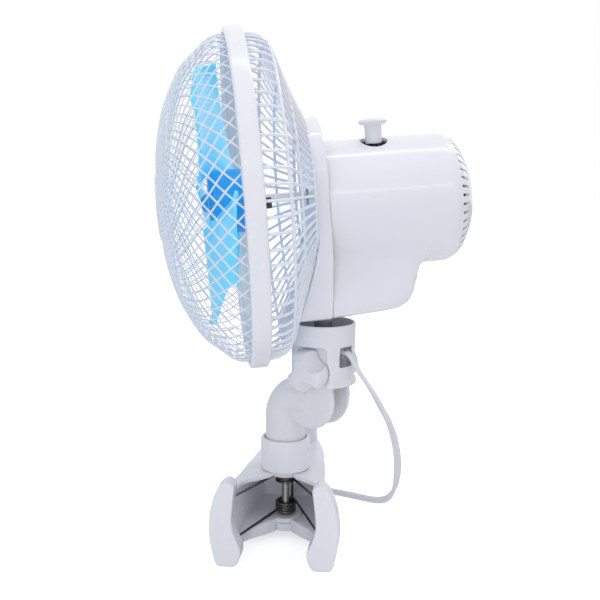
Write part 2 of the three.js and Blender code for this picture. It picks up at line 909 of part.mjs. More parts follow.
addMesh(head, 'motor_shaft', join(
  bar('y', shaftRadius, hubFront + 2 * hubWall, wormStart + wormLength / 2, 16),
  bar('y', wormRadius, wormStart, wormStart + wormLength, 16),
), 'steel');

// Impeller: a domed hub with a boss, and three broad twisted blades
function blade(turn) {
  const spans = 5;
  const chords = 5;
  const sides = [1, -1];
  const positions = [];
  const index = [];
  const root = bladeRootShare * hubRadius;
  for (const side of sides) {
    for (let i = 0; i <= spans; i += 1) {
      for (let j = 0; j <= chords; j += 1) {
        const along = i / spans;
        const across = j / chords;
        const radius = root + (bladeTip - root) * along;
        const place = bladeSwellShares[0] + bladeSwellShares[1] * along;
        const swell = Math.sin(Math.PI * place) ** bladeSwellShares[2];
        const tip = Math.max(0, (along - 1 + bladeTipShare) / bladeTipShare) * Math.abs(2 * across - 1);
        const corner = Math.sqrt(1 - tip ** 2 * bladeCornerShare);
        const angle = radians(bladeSpread) * swell * corner * (across - 0.5) + radians(bladeLean) * along;
        const twist = 1 - bladeTwistShare * along;
        const bow = bladeBowShare * Math.sin(Math.PI * across);
        const depth = bladeRear + (bladeFront - bladeRear) * (0.5 + (across - 0.5) * twist + bow);
        const thick = (side * bladeThickness * (1 - bladeTaperShare * along)) / 2;
        positions.push(radius * Math.sin(angle), depth + thick, radius * Math.cos(angle));
      }
    }
  }
  const row = chords + 1;
  const layer = row * (spans + 1);
  const at = (side, i, j) => side * layer + i * row + j;
  const quad = (a, b, c, d) => index.push(a, b, c, a, c, d);
  for (let i = 0; i < spans; i += 1) {
    for (let j = 0; j < chords; j += 1) {
      quad(at(0, i, j), at(0, i, j + 1), at(0, i + 1, j + 1), at(0, i + 1, j));
      quad(at(1, i, j), at(1, i + 1, j), at(1, i + 1, j + 1), at(1, i, j + 1));
    }
    quad(at(0, i, 0), at(0, i + 1, 0), at(1, i + 1, 0), at(1, i, 0));
    quad(at(0, i, chords), at(1, i, chords), at(1, i + 1, chords), at(0, i + 1, chords));
  }
  for (let j = 0; j < chords; j += 1) {
    quad(at(0, 0, j), at(1, 0, j), at(1, 0, j + 1), at(0, 0, j + 1));
    quad(at(0, spans, j), at(0, spans, j + 1), at(1, spans, j + 1), at(1, spans, j));
  }
  const geometry = new THREE.BufferGeometry();
  geometry.setAttribute('position', new THREE.Float32BufferAttribute(positions, 3));
  geometry.setIndex(index);
  return weld(geometry.rotateY(turn));
}

const hubBack = hubFront + hubLength;
const hub = turned('y', [
  [bossRadius, hubFront], [hubFaceShare * hubRadius, hubFront], [hubRadius, hubFront + 2 * hubWall],
  [hubRadius, hubBack], [hubRadius - hubWall, hubBack], [hubRadius - hubWall, hubFront + 2 * hubWall],
  [bossRadius, hubFront + hubWall],
], hubSides, true);
const boss = ringOf('y', shaftRadius + gap, bossRadius + gap, hubFront, hubBack - hubWall, 20);
const innerRoom = bar('y', hubRadius - hubWall / 2, hubFront - overrun, hubBack + overrun, hubSides);
const blades = [];
for (let k = 0; k < bladeCount; k += 1) {
  blades.push(cut(blade((2 * Math.PI * k) / bladeCount), innerRoom));
}
addMesh(head, 'impeller', join(hub, boss, ...blades), 'blue');
const nutOutline = nutShares.map(([radial, forward]) => [
  radial * nutRadius, hubFront - gap - forward * nutLength,
]);
addMesh(head, 'impeller_nut', turned('y', nutOutline, 16), 'blue');

// Sweep drive, in the head's own directions: x is to the side and y is back
const stemAtLink = new THREE.Vector2(0, sweepBack(linkDrop));
const spindleAt = new THREE.Vector2(spindleSide, spindleBack);
const reach = spindleAt.clone().sub(stemAtLink).normalize();
const across = new THREE.Vector2(reach.y, -reach.x);
const halfSweep = radians(-sweepNeutralDegrees);
const rockerPin = stemAtLink.clone()
  .addScaledVector(across, rockerRadius * Math.cos(halfSweep))
  .addScaledVector(reach, -rockerRadius * Math.sin(halfSweep));
const crankPin = spindleAt.clone().addScaledVector(rockerPin.clone().sub(spindleAt).normalize(), crankThrow);
const linkLength = crankPin.distanceTo(rockerPin);

const knobBoreTop = knobTop - knobCapThickness;
const linkTop = -linkDrop + linkThickness / 2;
const crankBottom = linkTop + gap;
const crankTop = crankBottom + crankThickness;
const spindle = groupAt(head, spindleSide, spindleBack, 0);
const crankPinOffset = crankPin.clone().sub(spindleAt);
const pin = bar('z', linkPinRadius, -linkDrop - linkThickness, crankBottom + crankThickness / 2, 10);
pin.translate(crankPinOffset.x, crankPinOffset.y, 0);
addMesh(spindle, 'crank_spindle', join(
  bar('z', spindleRadius, crankBottom + crankThickness / 2, knobBoreTop - knobTravel - gap, 14),
  bar('z', crankDiscRadius, crankBottom, crankTop, 20),
  pin,
), 'dark');

const wormGearRadius = spindleSide - wormRadius - gap;
addMesh(spindle, 'worm_wheel', ringOf(
  'z', spindleRadius + gap, wormGearRadius, -wheelHeight / 2, wheelHeight / 2, 24,
), 'net');

const linkGroup = groupAt(head, crankPin.x, crankPin.y, -linkDrop);
linkGroup.rotation.z = Math.atan2(rockerPin.y - crankPin.y, rockerPin.x - crankPin.x);
const half = linkThickness / 2;
addMesh(linkGroup, 'sweep_link', cut(
  join(
    bar('z', linkEyeHalf, -half, half, 16),
    box(0, linkLength, -linkHalfWidth, linkHalfWidth, -half, half),
    box(
      linkLength - linkSlotAlong - linkSlotWall, linkLength + linkSlotAlong + linkSlotWall,
      -linkSlotFar - linkSlotWall, linkSlotNear + linkSlotWall, -half, half,
    ),
  ),
  bar('z', linkPinRadius + pivotGap, -overrun, overrun, 12),
  box(
    linkLength - linkSlotAlong, linkLength + linkSlotAlong, -linkSlotFar, linkSlotNear, -overrun, overrun,
  ),
), 'steel');

addMesh(spindle, 'sweep_knob', cut(
  turned('z', [
    ...knobHeadShares.map(([radial, down]) => [radial * knobHeadRadius, knobTop - down * knobHeadHeight]),
    [knobStemRadius, knobTop - knobHeadHeight], [knobStemRadius, knobTop - knobHeadHeight - knobStemLength],
    [0, knobTop - knobHeadHeight - knobStemLength],
  ], 24),
  bar('z', knobBore, 0, knobBoreTop, 14),
), 'white');

// The gearbox case closes round the worm and the wheel
const caseSide = spindleSide + wormGearRadius + gap + caseWall;
const caseInner = wormRadius + gap + pivotGap;
const caseRoomHalf = caseHalfHeight - caseWall;
const caseWindow = [caseFront + 3 * caseWall, caseRear - 3 * caseWall];
addMesh(head, 'gearbox_case', cut(
  box(-caseInner - caseWall, caseSide, caseFront, caseRear, -caseHalfHeight, caseHalfHeight),
  box(
    -caseInner, caseSide - caseWall, caseFront + caseWall, caseRear - caseWall, -caseRoomHalf, caseRoomHalf,
  ),
  bar('y', wormRadius + gap, 0, caseRear - caseWall, 16),
  bar('z', spindleRadius + gap, -2 * caseHalfHeight, 2 * caseHalfHeight, 14)
    .translate(spindleSide, spindleBack, 0),
  bar('z', wormGearRadius + gap, -caseRoomHalf, caseRoomHalf, 24).translate(spindleSide, spindleBack, 0),
  box(caseSide - 2 * caseWall, caseSide + overrun, ...caseWindow, -wheelHeight / 2, wheelHeight / 2),
), 'iron');

// Stem that the head sweeps on, with its thrust flange and the rocker that holds the link
const stemFloor = cupTop - cupFloorDrop;
const floorInside = ringHeight + stemAtLink.y * Math.sin(lean) - (collarDrop - housingWall) * Math.cos(lean);
const sleeveBottom = floorInside + 2 * sleeveRadius * Math.tan(lean) + gap;
const rockerBottom = sleeveBottom + sleeveHeight + gap;
const rockerPinWorld = new THREE.Vector2(rockerPin.x, rockerPin.y - stemAtLink.y);
const thrustBottom = cupTop + stemGap;
const rockerTop = rockerBottom + rockerThickness;
addMesh(sweep, 'sweep_stem', join(
  bar('z', stemRadius, stemFloor + gap, rockerBottom + rockerThickness / 2, 20),
  bar('z', thrustRadius, thrustBottom, thrustBottom + thrustThickness, 24),
  bar('z', rockerRadius + linkPinRadius + stemGap, rockerBottom, rockerTop, 20),
  bar('z', linkPinRadius, rockerTop - rockerThickness / 2, rockerTop + rockerPinHeight, 10)
    .translate(rockerPinWorld.x, rockerPinWorld.y, 0),
), 'steel');

const sleeve = sweepBar(sleeveRadius, sleeveBottom, sleeveBottom + sleeveHeight);
const sleeveHole = sweepBar(stemRadius + pivotGap, cupTop, sleeveBottom + 2 * overrun);
addMesh(head, 'pivot_bracket', cut(
  join(
    sleeve,
    box(-strap, strap, stemAtLink.y, rearBracketEnd, -strapDrop - strap, -strapDrop),
    box(-strap, strap, rearBracketPlace, rearBracketEnd, -strapDrop - strap / 2, -bracketRadius - gap),
  ),
  sleeveHole,
), 'iron');

// Three-step switch in the rear cap, and its slider
const capInside = barrelRear - housingWall;
const switchFront = capInside - switchDepth;
const switchMiddle = switchFront + switchDepth / 2;
const switchRoom = [slotHalfWidth - switchWall, slotHalfHeight - switchWall / 2];
addMesh(head, 'speed_switch', cut(
  slotBox(slotHalfWidth, slotHalfHeight, switchFront, capInside - 3 * gap),
  slotBox(...switchRoom, switchMiddle, capInside),
), 'dark');
const slider = slotBox(sliderHalfWidth, switchRoom[1] - gap, switchMiddle + gap, barrelRear + sliderRise);
addMesh(head, 'speed_slider', slider.translate(-sliderTravel / 2, 0, 0), 'white');

// Cup: a skirted shell with a floor, two clamp walls and a boss on its far side.
// Heights here are measured from the tilt axis.
const cupBottom = tiltDrop - cupHeight;
const floorTop = tiltDrop - cupFloorDrop;
const floorUnder = floorTop - cupFloorThickness;
const clampInside = cheekHalf + gap;
const clampOutside = clampInside + clampWall;
const shell = turned('z', [
  [cupRadius, tiltDrop],
  ...lipShares.map(([bulge, up]) => [cupLipRadius + bulge * lipBulge, cupBottom + up * lipHeight]),
  [cupLipRadius - lipWall, cupBottom], [cupRadius - cupWall, tiltDrop],
], cupSides, true);
const floorDisc = bar('z', cupLipRadius - cupWall / 2, floorUnder, floorTop, cupSides);
const inside = bar('z', cupLipRadius - cupWall / 2, cupBottom, floorTop, cupSides);
const clampWalls = [1, -1].map((side) => common(inside, box(
  Math.min(side * clampInside, side * clampOutside), Math.max(side * clampInside, side * clampOutside),
  -cupRadius, cupRadius, cupBottom, floorUnder + cupFloorThickness / 2,
)));
const notchHalf = notchShares.map((share) => share * notchRadius);
const cordHole = [stemRadius + 2 * pivotGap, cupLipRadius - 2 * cupWall];
const farBoss = bar('x', farBossRadius, -farBossReach, -clampOutside + clampWall / 2, 28);
addMesh(cup, 'yoke_cup', cut(
  join(shell, floorDisc, ...clampWalls, farBoss),
  bar('x', notchRadius, clampOutside, cupRadius + overrun, 28),
  box(clampOutside, cupRadius + overrun, -notchHalf[0], notchHalf[0], 0, floorTop),
  box(clampOutside, cupRadius + overrun, -notchHalf[1], notchHalf[1], cupBottom - overrun, 0),
  box(
    -windowHalf, windowHalf, cupLipRadius / 2, cupRadius + overrun,
    tiltDrop - windowBottom, tiltDrop - windowTop,
  ),
  box(-windowHalf, windowHalf, ...cordHole, floorUnder - gap, floorTop + gap),
  box(
    -clampInside, clampInside, -cupRadius - overrun, -cheekRadius / 2,
    cupBottom - overrun, floorUnder - windowHalf,
  ),
  bar('x', boltRadius + pivotGap, -cupRadius - overrun, cupRadius + overrun, 14),
  bar('x', boltHeadRadius + pivotGap, -farBossReach - overrun, -farBossReach + boltHeadLength + gap, 20),
), 'white');

const boltEnd = clampOutside + boltReachShare * knobLength;
addMesh(cup, 'tilt_bolt', join(
  bar('x', boltHeadRadius, -farBossReach, -farBossReach + boltHeadLength, 16),
  bar('x', boltRadius, -farBossReach + boltHeadLength / 2, boltEnd, 14),
), 'steel');
const clampTop = floorUnder - gap;
const clampEnd = cordRoute[0][0] * Math.SQRT2 - gap;
addMesh(cup, 'cord_clamp', box(
  -windowHalf + gap, windowHalf - gap, clampEnd - clampDepth, clampEnd, clampTop - clampSize, clampTop,
), 'white');

const lobes = [];
for (let k = 0; k < cupSides; k += 1) {
  const angle = (2 * Math.PI * k) / cupSides;
  const radius = knobRadius - knobLobe * (0.5 - 0.5 * Math.cos(knobLobes * angle));
  lobes.push([radius * Math.sin(angle), radius * Math.cos(angle)]);
}
addMesh(cup, 'tilt_knob', cut(
  drawnAlongX(lobes, clampOutside + gap, clampOutside + gap + knobLength),
  bar('x', boltRadius + gap, 0, boltEnd + gap, 14),
), 'white');

// Swan-neck arm: a post, a bend and a forked head whose cheeks sit between the clamp walls
const axisHeight = cupTop - tiltDrop;
const neckPath = [];
neckPath.push(new THREE.Vector3(0, -armOffset, neckBottom));
for (const [y, z] of arcPoints(-armOffset + neckBend, bendHeight, neckBend, 180, 90, 6)) {
  neckPath.push(new THREE.Vector3(0, y, z));
}
neckPath.push(new THREE.Vector3(0, -forkBack, bendHeight + neckBend));
const forkHeight = axisHeight - forkDrop;
const forkEdge = forkShares[1] * cheekWall;
const forkDisc = turned('y', [
  [0, -cheekHalf], [forkRadius - forkEdge, -cheekHalf], [forkRadius, -cheekHalf + forkEdge],
  [forkRadius, cheekHalf - forkEdge], [forkRadius - forkEdge, cheekHalf], [0, cheekHalf],
], 32).rotateZ(-Math.PI / 2).translate(0, -forkBack, forkHeight);
const cheeks = drawnAlongX([
  ...arcPoints(0, axisHeight, cheekRadius, 0, 180, 12),
  [-forkBack - forkShares[0] * forkRadius, forkHeight], [forkRadius - forkBack, forkHeight],
], -cheekHalf, cheekHalf);
const room = cheekHalf - cheekWall;
addMesh(arm, 'swivel_arm', cut(
  join(tube(neckPath, neckRadius, 20, new THREE.Vector3(1, 0, 0)), forkDisc, cheeks),
  drawnAlongX([
    [-forkBack, axisHeight + 2 * cheekRadius], [2 * forkRadius, axisHeight + 2 * cheekRadius],
    [2 * forkRadius, forkHeight - forkRadius - overrun], [0, forkHeight - forkRadius - overrun],
    [-forkBack / 2, forkHeight - forkShares[0] * forkRadius], [-forkBack, forkHeight],
  ], -room, room),
  bar('x', boltRadius + pivotGap, -cupRadius, cupRadius, 14).translate(0, 0, axisHeight),
  bar('z', neckCore, 0, neckBottom + neckCore, 16).translate(0, -armOffset, 0),
), 'white');

// Clip arms: channels that open towards each other, with an ear for the fingers and a jaw
function clipPoint([along, out], side) {
  return [along * (along > 0 ? earReach : jawReach), side * out * earSpread];
}

const jawFace = padThickness + gap + gap / 2;
const channelBack = -channelBackShare * jawReach;
const earBack = earReach - earLength;
const lugTop = plateTop - lugThickness - gap;
const lowLugTop = plateLow - gap;
const topLug = [lugTop - lugThickness, lugTop];
const lowLug = [lowLugTop - plateThickness, lowLugTop];

function clipArm(side) {
  const outer = plateOuterShares.map((pair) => clipPoint(pair, side));
  const inner = plateInnerShares.map((pair) => clipPoint(pair, side));
  const face = side * jawFace;
  const jaw = [[-jawReach + padLength + gap, face], [-jawReach, face]];
  const blank = raised([...outer, ...inner, ...jaw], 0, plateTop);
  const under = drawnAlongY([
    [channelBack, -overrun], [channelBack, plateLow], [hubDiscRadius, plateLow], [earBack, plateSag],
    [earBack, -overrun],
  ], -2 * earSpread, 2 * earSpread);
  const roomSide = drawnAlongY([
    [channelBack, plateLow + plateThickness], [hubDiscRadius, plateLow + plateThickness],
    [earReach, plateSag], [earReach, plateTop - plateThickness], [channelBack, plateTop - plateThickness],
  ], -2 * earSpread, 2 * earSpread);
  const walls = outer.slice(1).map(([x, y]) => [x, y - side * armWall]);
  const far = -side * earSpread;
  const roomPlan = raised([...walls, [earReach, far], [walls[0][0], far]], 0, plateTop);
  const channel = cut(blank, under, common(roomSide, roomPlan));
  const ear = drawnAlongX(
    earShares.map(([out, up]) => [side * out * earSpread, up * earHeight]), earBack, earReach,
  );
  const hole = bar('z', axleRadius + gap, 0, plateTop + overrun, 16);
  const ring = hubDiscRadius + pivotGap;
  const lowRing = lugRadius + pivotGap;
  if (side < 0) {
    return cut(join(
      cut(channel, bar('z', ring, plateLow + plateThickness, plateTop - lugThickness, 28)), ear,
      bar('z', hubDiscRadius, plateTop - lugThickness, plateTop, 28),
      bar('z', lugRadius, plateLow, plateLow + plateThickness, 24),
    ), hole);
  }
  const lugHalf = lugHalfShare * lugRadius;
  const wallReach = wallReachShare * earSpread;
  return cut(join(
    cut(
      channel, bar('z', ring, lugTop - overrun, plateTop + overrun, 28),
      bar('z', lowRing, 0, plateTop, 24),
    ),
    ear,
    bar('z', lugRadius, ...topLug, 24), box(-lugHalf, lugHalf, 0, wallReach, ...topLug),
    bar('z', lugRadius, ...lowLug, 24), box(-lugHalf, lugHalf, 0, wallReach, ...lowLug),
    box(-lugHalf, lugHalf, lowRing + gap, wallReach, lowLug[0], plateLow + gap),
    bar('z', lowHubRadius, lowHub, lowLugTop - gap, 20),
    bar('z', pegRadius, plateTop - plateThickness, pegTop, 16)
      .translate(-jawReach + pegInset, 2 * pegInset, 0),
  ), hole);
}

addMesh(clip, 'clip_arm_left', clipArm(-1), 'white');
addMesh(clip, 'clip_arm_right', clipArm(1), 'white');
for (const [name, side] of [['jaw_pad_left', -1], ['jaw_pad_right', 1]]) {
  const places = [(side * gap) / 2, side * (padThickness + gap / 2)].sort((a, b) => a - b);
  addMesh(clip, name, box(
    -jawReach, -jawReach + padLength, ...places, padMargin, plateTop - padMargin,
  ), 'rubber');
}
addMesh(clip, 'swivel_socket', cut(
  bar('z', socketRadius, plateTop + gap, socketTop, 32),
  bar('z', neckRadius + gap, plateTop + gap + socketFloor, socketTop + overrun, 32),
  bar('z', axleRadius + gap, 0, socketTop, 16),
), 'white');
addMesh(clip, 'clip_axle', join(
  bar('z', axleRadius, lowHub - gap - axleHeadHeight / 2, plateTop + socketFloor + 2 * gap + nutHeight, 16),
  bar('z', axleHeadRadius, lowHub - gap - axleHeadHeight, lowHub - gap, 16),
), 'steel');
const nutBottom = plateTop + socketFloor + 2 * gap;
addMesh(clip, 'axle_nut', cut(
  bar('z', axleHeadRadius, nutBottom, nutBottom + nutHeight, 6),
  bar('z', axleRadius + gap, 0, socketTop, 16),
), 'steel');

// Springs: each is one wire, from the left ear round the axle to the right ear
function springPath(turns, leftHeight, climb, ends) {
  const legEnd = new THREE.Vector2(earBack - gap - springWire / 2, springEndShare * earSpread);
  const reachBack = Math.acos(springRadius / legEnd.length());
  const bearing = Math.atan2(legEnd.y, legEnd.x);
  const start = -bearing - reachBack;
  const turn = 2 * Math.PI * turns + 2 * Math.PI - 2 * (bearing + reachBack);
  const steps = Math.ceil((springSteps * turn) / (2 * Math.PI));
  const path = [];
  const corner = (angle, height) => new THREE.Vector3(
    springRadius * Math.cos(angle), springRadius * Math.sin(angle), height,
  );
  const rightHeight = leftHeight + (climb * springPitch * turn) / (2 * Math.PI);
  function leg(side, endHeight, turnHeight, angle, share) {
    const end = new THREE.Vector3(legEnd.x, side * legEnd.y, endHeight);
    return end.lerp(corner(angle, turnHeight), share);
  }
  path.push(leg(-1, ends[0], leftHeight, start, 0), leg(-1, ends[0], leftHeight, start, 0.5));
  for (let i = 0; i <= steps; i += 1) {
    path.push(corner(start - (turn * i) / steps, leftHeight + ((rightHeight - leftHeight) * i) / steps));
  }
  const last = start - turn;
  path.push(leg(1, ends[1], rightHeight, last, 0.5), leg(1, ends[1], rightHeight, last, 0));
  return path;
}

const upperSpring = springPath(upperTurns, upperLeft, -1, upperEnds);
const lowerSpring = springPath(lowerTurns, lowerLeft, 1, lowerEnds);
console.log('upper spring gap to itself, mm', leastSelfGap(upperSpring, springWire).toFixed(2));
console.log('lower spring gap to itself, mm', leastSelfGap(lowerSpring, springWire).toFixed(2));
addMesh(clip, 'spring_upper', tube(upperSpring, springWire / 2, 5), 'steel');
addMesh(clip, 'spring_lower', tube(lowerSpring, springWire / 2, 5), 'steel');

// Hank: two layers of long loops, spiralling in and then out, drawn in alike at the waist, with
// the climb along the run where the spiral reverses. Its last run bends away to the plug.
const hank = groupAt(fan, hankCentre[0], hankCentre[1], hankFloorGap + cordDiameter / 2);
hank.rotation.z = radians(hankDegrees);
const loopSteps = 2 * (endSteps + runSteps);
const hankSteps = hankLoops * loopSteps + runSteps;
const hankEdge = hankFold + (hankPitch * hankSteps) / (2 * loopSteps);

function hankPoint(step) {
  const place = step % loopSteps;
  const half = hankFold + (hankPitch * Math.abs(step - hankSteps / 2)) / loopSteps;
  const climb = THREE.MathUtils.clamp((step - hankSteps / 2) / runSteps + 0.5, 0, 1);
  const side = place < endSteps + runSteps ? 1 : -1;
  const along = side > 0 ? place : place - endSteps - runSteps;
  const turned = along > runSteps;
  const angle = turned ? (Math.PI * (along - runSteps)) / endSteps - Math.PI / 2 : -Math.PI / 2;
  const run = turned ? 0.5 : along / runSteps - 0.5;
  const waist = turned ? 0 : hankWaist * Math.cos(Math.PI * run) ** 2;
  return new THREE.Vector3(
    side * (hankRun * run + half * Math.cos(angle)), side * (half * Math.sin(angle) + waist),
    hankLayer * climb,
  );
}

function hankPath() {
  const path = [new THREE.Vector3(-hankRun / 2 - cordDiameter, -hankEdge, 0)];
  for (let step = 0; step <= hankSteps; step += 1) {
    path.push(hankPoint(step));
  }
  const turnAt = hankRun / 2 + cordDiameter;
  const chord = new THREE.Vector2(0, 2 * tailBend).rotateAround(new THREE.Vector2(), -radians(tailDegrees));
  const bends = [
    ...arcPoints(turnAt, tailBend - hankEdge, tailBend, -90, tailDegrees - 90, 4),
    ...arcPoints(turnAt + chord.x, tailBend - hankEdge - chord.y, tailBend, 90 + tailDegrees, 90, 4),
  ];
  path.push(...bends.map(([x, y]) => new THREE.Vector3(x, y, hankLayer)));
  const end = path[path.length - 1];
  path.push(new THREE.Vector3(end.x + cordDiameter, end.y, hankLayer));
  return path;
}

const hankLine = hankPath();
const hankLength = new THREE.CurvePath();
for (let i = 1; i < hankLine.length; i += 1) {
  hankLength.add(new THREE.LineCurve3(hankLine[i - 1], hankLine[i]));
}
console.log('hank gap to itself, mm', leastSelfGap(hankLine, cordDiameter).toFixed(2));
addMesh(hank, 'cord_hank', tube(hankLine, cordDiameter / 2, loopSides), 'white');
hank.updateMatrixWorld(true);

const hankHead = hank.localToWorld(hankLine[0].clone());
const leadIn = new THREE.Vector3(1, 0, 0).transformDirection(hank.matrixWorld);
const cordPoints = cordRoute.map(([x, y, z]) => new THREE.Vector3(x, y, z));
for (const back of [gap + cordDiameter, gap]) {
  cordPoints.push(hankHead.clone().addScaledVector(leadIn, -back));
}
const cordCurve = new THREE.CatmullRomCurve3(cordPoints, false, 'centripetal');
const cordSection = shapeOf(arcPoints(0, 0, cordDiameter / 2, 0, 360 - 360 / cordSides, cordSides - 1));
addMesh(fan, 'power_cord', new THREE.ExtrudeGeometry(cordSection, {
  steps: cordSteps, bevelEnabled: false, extrudePath: cordCurve,
}), 'white');
console.log('cord length in all, mm', (cordCurve.getLength() + hankLength.getLength()).toFixed(0));

// Tie round the waist, and the plug beyond the far end
const tieRoom = cordDiameter / 2 + gap;
const tieSide = tieRoom - hankWaist + (tieWidth * hankWaist) / hankRun;
const tieNear = hankFold + 1.5 * hankPitch + tieSide;
const tieFar = hankFold + hankPitch + tieSide;
addMesh(hank, 'cord_tie', cut(
  box(
    -tieWidth / 2, tieWidth / 2, -tieNear - tieThickness, tieFar + tieThickness,
    -tieRoom - tieThickness, hankLayer + tieRoom + tieThickness,
  ),
  box(-tieWidth, tieWidth, -tieNear, tieFar, -tieRoom, hankLayer + tieRoom),
), 'dark');

const tail = hankLine[hankLine.length - 1];
const plug = groupAt(hank, tail.x, tail.y, tail.z);
const noseEnd = gap + plugNose;
const bodyEnd = noseEnd + plugLength;
addMesh(plug, 'plug_body', join(
  new THREE.CylinderGeometry(plugNeckShare * plugHeight, plugNoseRadius, plugNose + gap, 14)
    .rotateZ(-Math.PI / 2).translate(gap + (plugNose + gap) / 2, 0, 0),
  box(noseEnd, bodyEnd, -plugWidth / 2, plugWidth / 2, -plugHeight / 2, plugHeight / 2),
), 'white');
for (const [name, side] of [['plug_pin_1', -1], ['plug_pin_2', 1]]) {
  const pin = box(
    bodyEnd + gap, bodyEnd + gap + pinLength, -pinThickness / 2, pinThickness / 2,
    -pinWidth / 2, pinWidth / 2,
  );
  addMesh(plug, name, pin.translate(0, side * pinSpread, 0), 'brass');
}

// The origin is on the floor, under the middle of the fan without its cord
const cordNodes = ['cord_hank', 'power_cord', 'cord_tie', 'plug_body', 'plug_pin_1', 'plug_pin_2'];
fan.updateMatrixWorld(true);
const bounds = new THREE.Box3();
fan.traverse((item) => {
  if (item.isMesh && !cordNodes.includes(item.name)) {
    bounds.expandByObject(item, true);
  }
});
const middle = bounds.getCenter(new THREE.Vector3());
fan.position.set(-middle.x, -middle.y, -bounds.min.z);
console.log('moved by, mm', fan.position.toArray().map((value) => value.toFixed(3)).join(' '));

export default fan;
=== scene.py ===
"""A small clip fan that stands on its spring clip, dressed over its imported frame.

Pieces are modelled in millimetres in the directions of what carries them: the head's x is to the
side, y is back along the motor and z is up. Each is then put in its place in metres.
"""
import math

import bmesh
import bpy
from mathutils import Matrix, Vector


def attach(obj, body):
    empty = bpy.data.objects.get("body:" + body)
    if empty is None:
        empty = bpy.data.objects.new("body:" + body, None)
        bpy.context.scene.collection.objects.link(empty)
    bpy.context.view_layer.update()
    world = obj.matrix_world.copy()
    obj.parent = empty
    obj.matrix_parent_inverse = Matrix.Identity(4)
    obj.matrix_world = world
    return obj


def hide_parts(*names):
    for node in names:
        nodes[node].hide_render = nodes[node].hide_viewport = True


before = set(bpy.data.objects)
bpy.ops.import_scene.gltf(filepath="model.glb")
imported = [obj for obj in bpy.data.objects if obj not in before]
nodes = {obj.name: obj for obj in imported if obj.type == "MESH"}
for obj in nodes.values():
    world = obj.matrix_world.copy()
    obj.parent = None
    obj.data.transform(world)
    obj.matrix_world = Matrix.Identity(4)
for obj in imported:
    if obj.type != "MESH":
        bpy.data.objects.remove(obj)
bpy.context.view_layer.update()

# Sizes, in millimetres, as in the CAD source
MM = 0.001
# From the CAD source's origin to the frame's, how far a cut runs past what it cuts, and the radius
# on which a turned form closes
MOVED, OVERRUN, POLE = Vector((0, 4.767, 0)), 6, 0.01

RING_RADIUS, RING_WIDTH, RING_WALL, RING_ROUND = 95, 10.2, 3.3, 1.7
RING_HEIGHT, RING_FORWARD, HEAD_LEAN = 208.6, 45.8, 4
NET_RADIUS, NET_DEPTH, NET_RIM, NET_STRANDS, NET_WIRE = 90.6, 49.2, 3.6, 60, 0.46
NET_SHARES = [(1, 0.073), (1, 0.15), (0.985, 0.254), (0.91, 0.427), (0.83, 0.589), (0.71, 0.722),
              (0.61, 0.809), (0.5, 0.874), (0.33, 0.94), (0.19, 0.955)]
BADGE_RADIUS = 19.5
BASKET_RADIUS, BASKET_DEPTH, RIB_COUNT, RIB_RADIUS = 90.6, 34.6, 72, 0.85
BASKET_SHARES = [(1, 0.1), (0.997, 0.27), (0.98, 0.41), (0.945, 0.52), (0.84, 0.63), (0.68, 0.79),
                 (0.5, 1.01)]
COLLAR_REAR, COLLAR_RADIUS, COLLAR_DROP, COLLAR_WALL = 43.5, 43.8, 69.5, 1.5
COLLAR_FOOT, COLLAR_WAIST, COLLAR_WAIST_DROP, COLLAR_SHOULDER, COLLAR_CORNER = 26, 38.5, 30, 8, 9
BARREL_RADIUS, BARREL_DROP, BARREL_START, BARREL_REAR, BARREL_ROUND = 36.7, 6.7, 43.8, 129.7, 18.7
REAR_SHARES = [(1, 0), (0.997, 0.1), (0.985, 0.19), (0.918, 0.433), (0.76, 0.668), (0.553, 0.85),
               (0.25, 0.955)]
HOUSING_WALL, BULGE_HALF, BULGE_DROP, BULGE_LENGTH = 1.8, 25, 69.3, 56
BULGE_SHARES = [(0, 1), (0.3, 0.985), (0.58, 0.968), (0.7, 0.95), (0.78, 0.91), (0.83, 0.84),
                (0.866, 0.74), (0.89, 0.66), (0.92, 0.61), (1, 0.57)]
PULL_SIDE, PULL_BACK, PULL_TOP, PULL_HOLE = 11, 74.2, 40.4, 7.7

CUP_TOP, CUP_RADIUS, CUP_LIP_RADIUS, CUP_WALL, CUP_HEIGHT = 138, 19, 18.2, 1.6, 36.4
TILT_DROP = 27.2
NECK_BACK, ARM_TURN, CLIP_TURN = 28.6, -45, -14
TILT_HEIGHT = CUP_TOP - TILT_DROP


def mm(x, y, z):
    return Vector((x, y, z)) * MM


def scaled(matrix):
    return matrix @ Matrix.Scale(MM, 4)


def turn(degrees, axis):
    return Matrix.Rotation(math.radians(degrees), 4, axis)


HEAD = scaled(Matrix.Translation(mm(0, MOVED.y - RING_FORWARD, RING_HEIGHT)) @ turn(HEAD_LEAN, "X"))
CUP = scaled(Matrix.Translation(mm(0, MOVED.y, TILT_HEIGHT)) @ turn(ARM_TURN, "Z"))
ARM = scaled(Matrix.Translation(mm(0, MOVED.y, 0)) @ turn(ARM_TURN, "Z"))
AXLE_PLACE = turn(ARM_TURN, "Z") @ Vector((0, -NECK_BACK, 0))
CLIP = scaled(Matrix.Translation((MOVED + AXLE_PLACE) * MM) @ turn(CLIP_TURN, "Z"))
ALONG_Y = turn(-90, "X")
UPRIGHT = turn(90, "X")
TO_X = Matrix(((0, 0, 1, 0), (1, 0, 0, 0), (0, 1, 0, 0), (0, 0, 0, 1)))


# Camera, as the photograph was taken
CAMERA_AZIMUTH, CAMERA_PITCH, LENS, SENSOR = 83, 9.3, 54, 36
CAMERA_PLACE = Vector((0.5122, -0.07183, 0.2353))

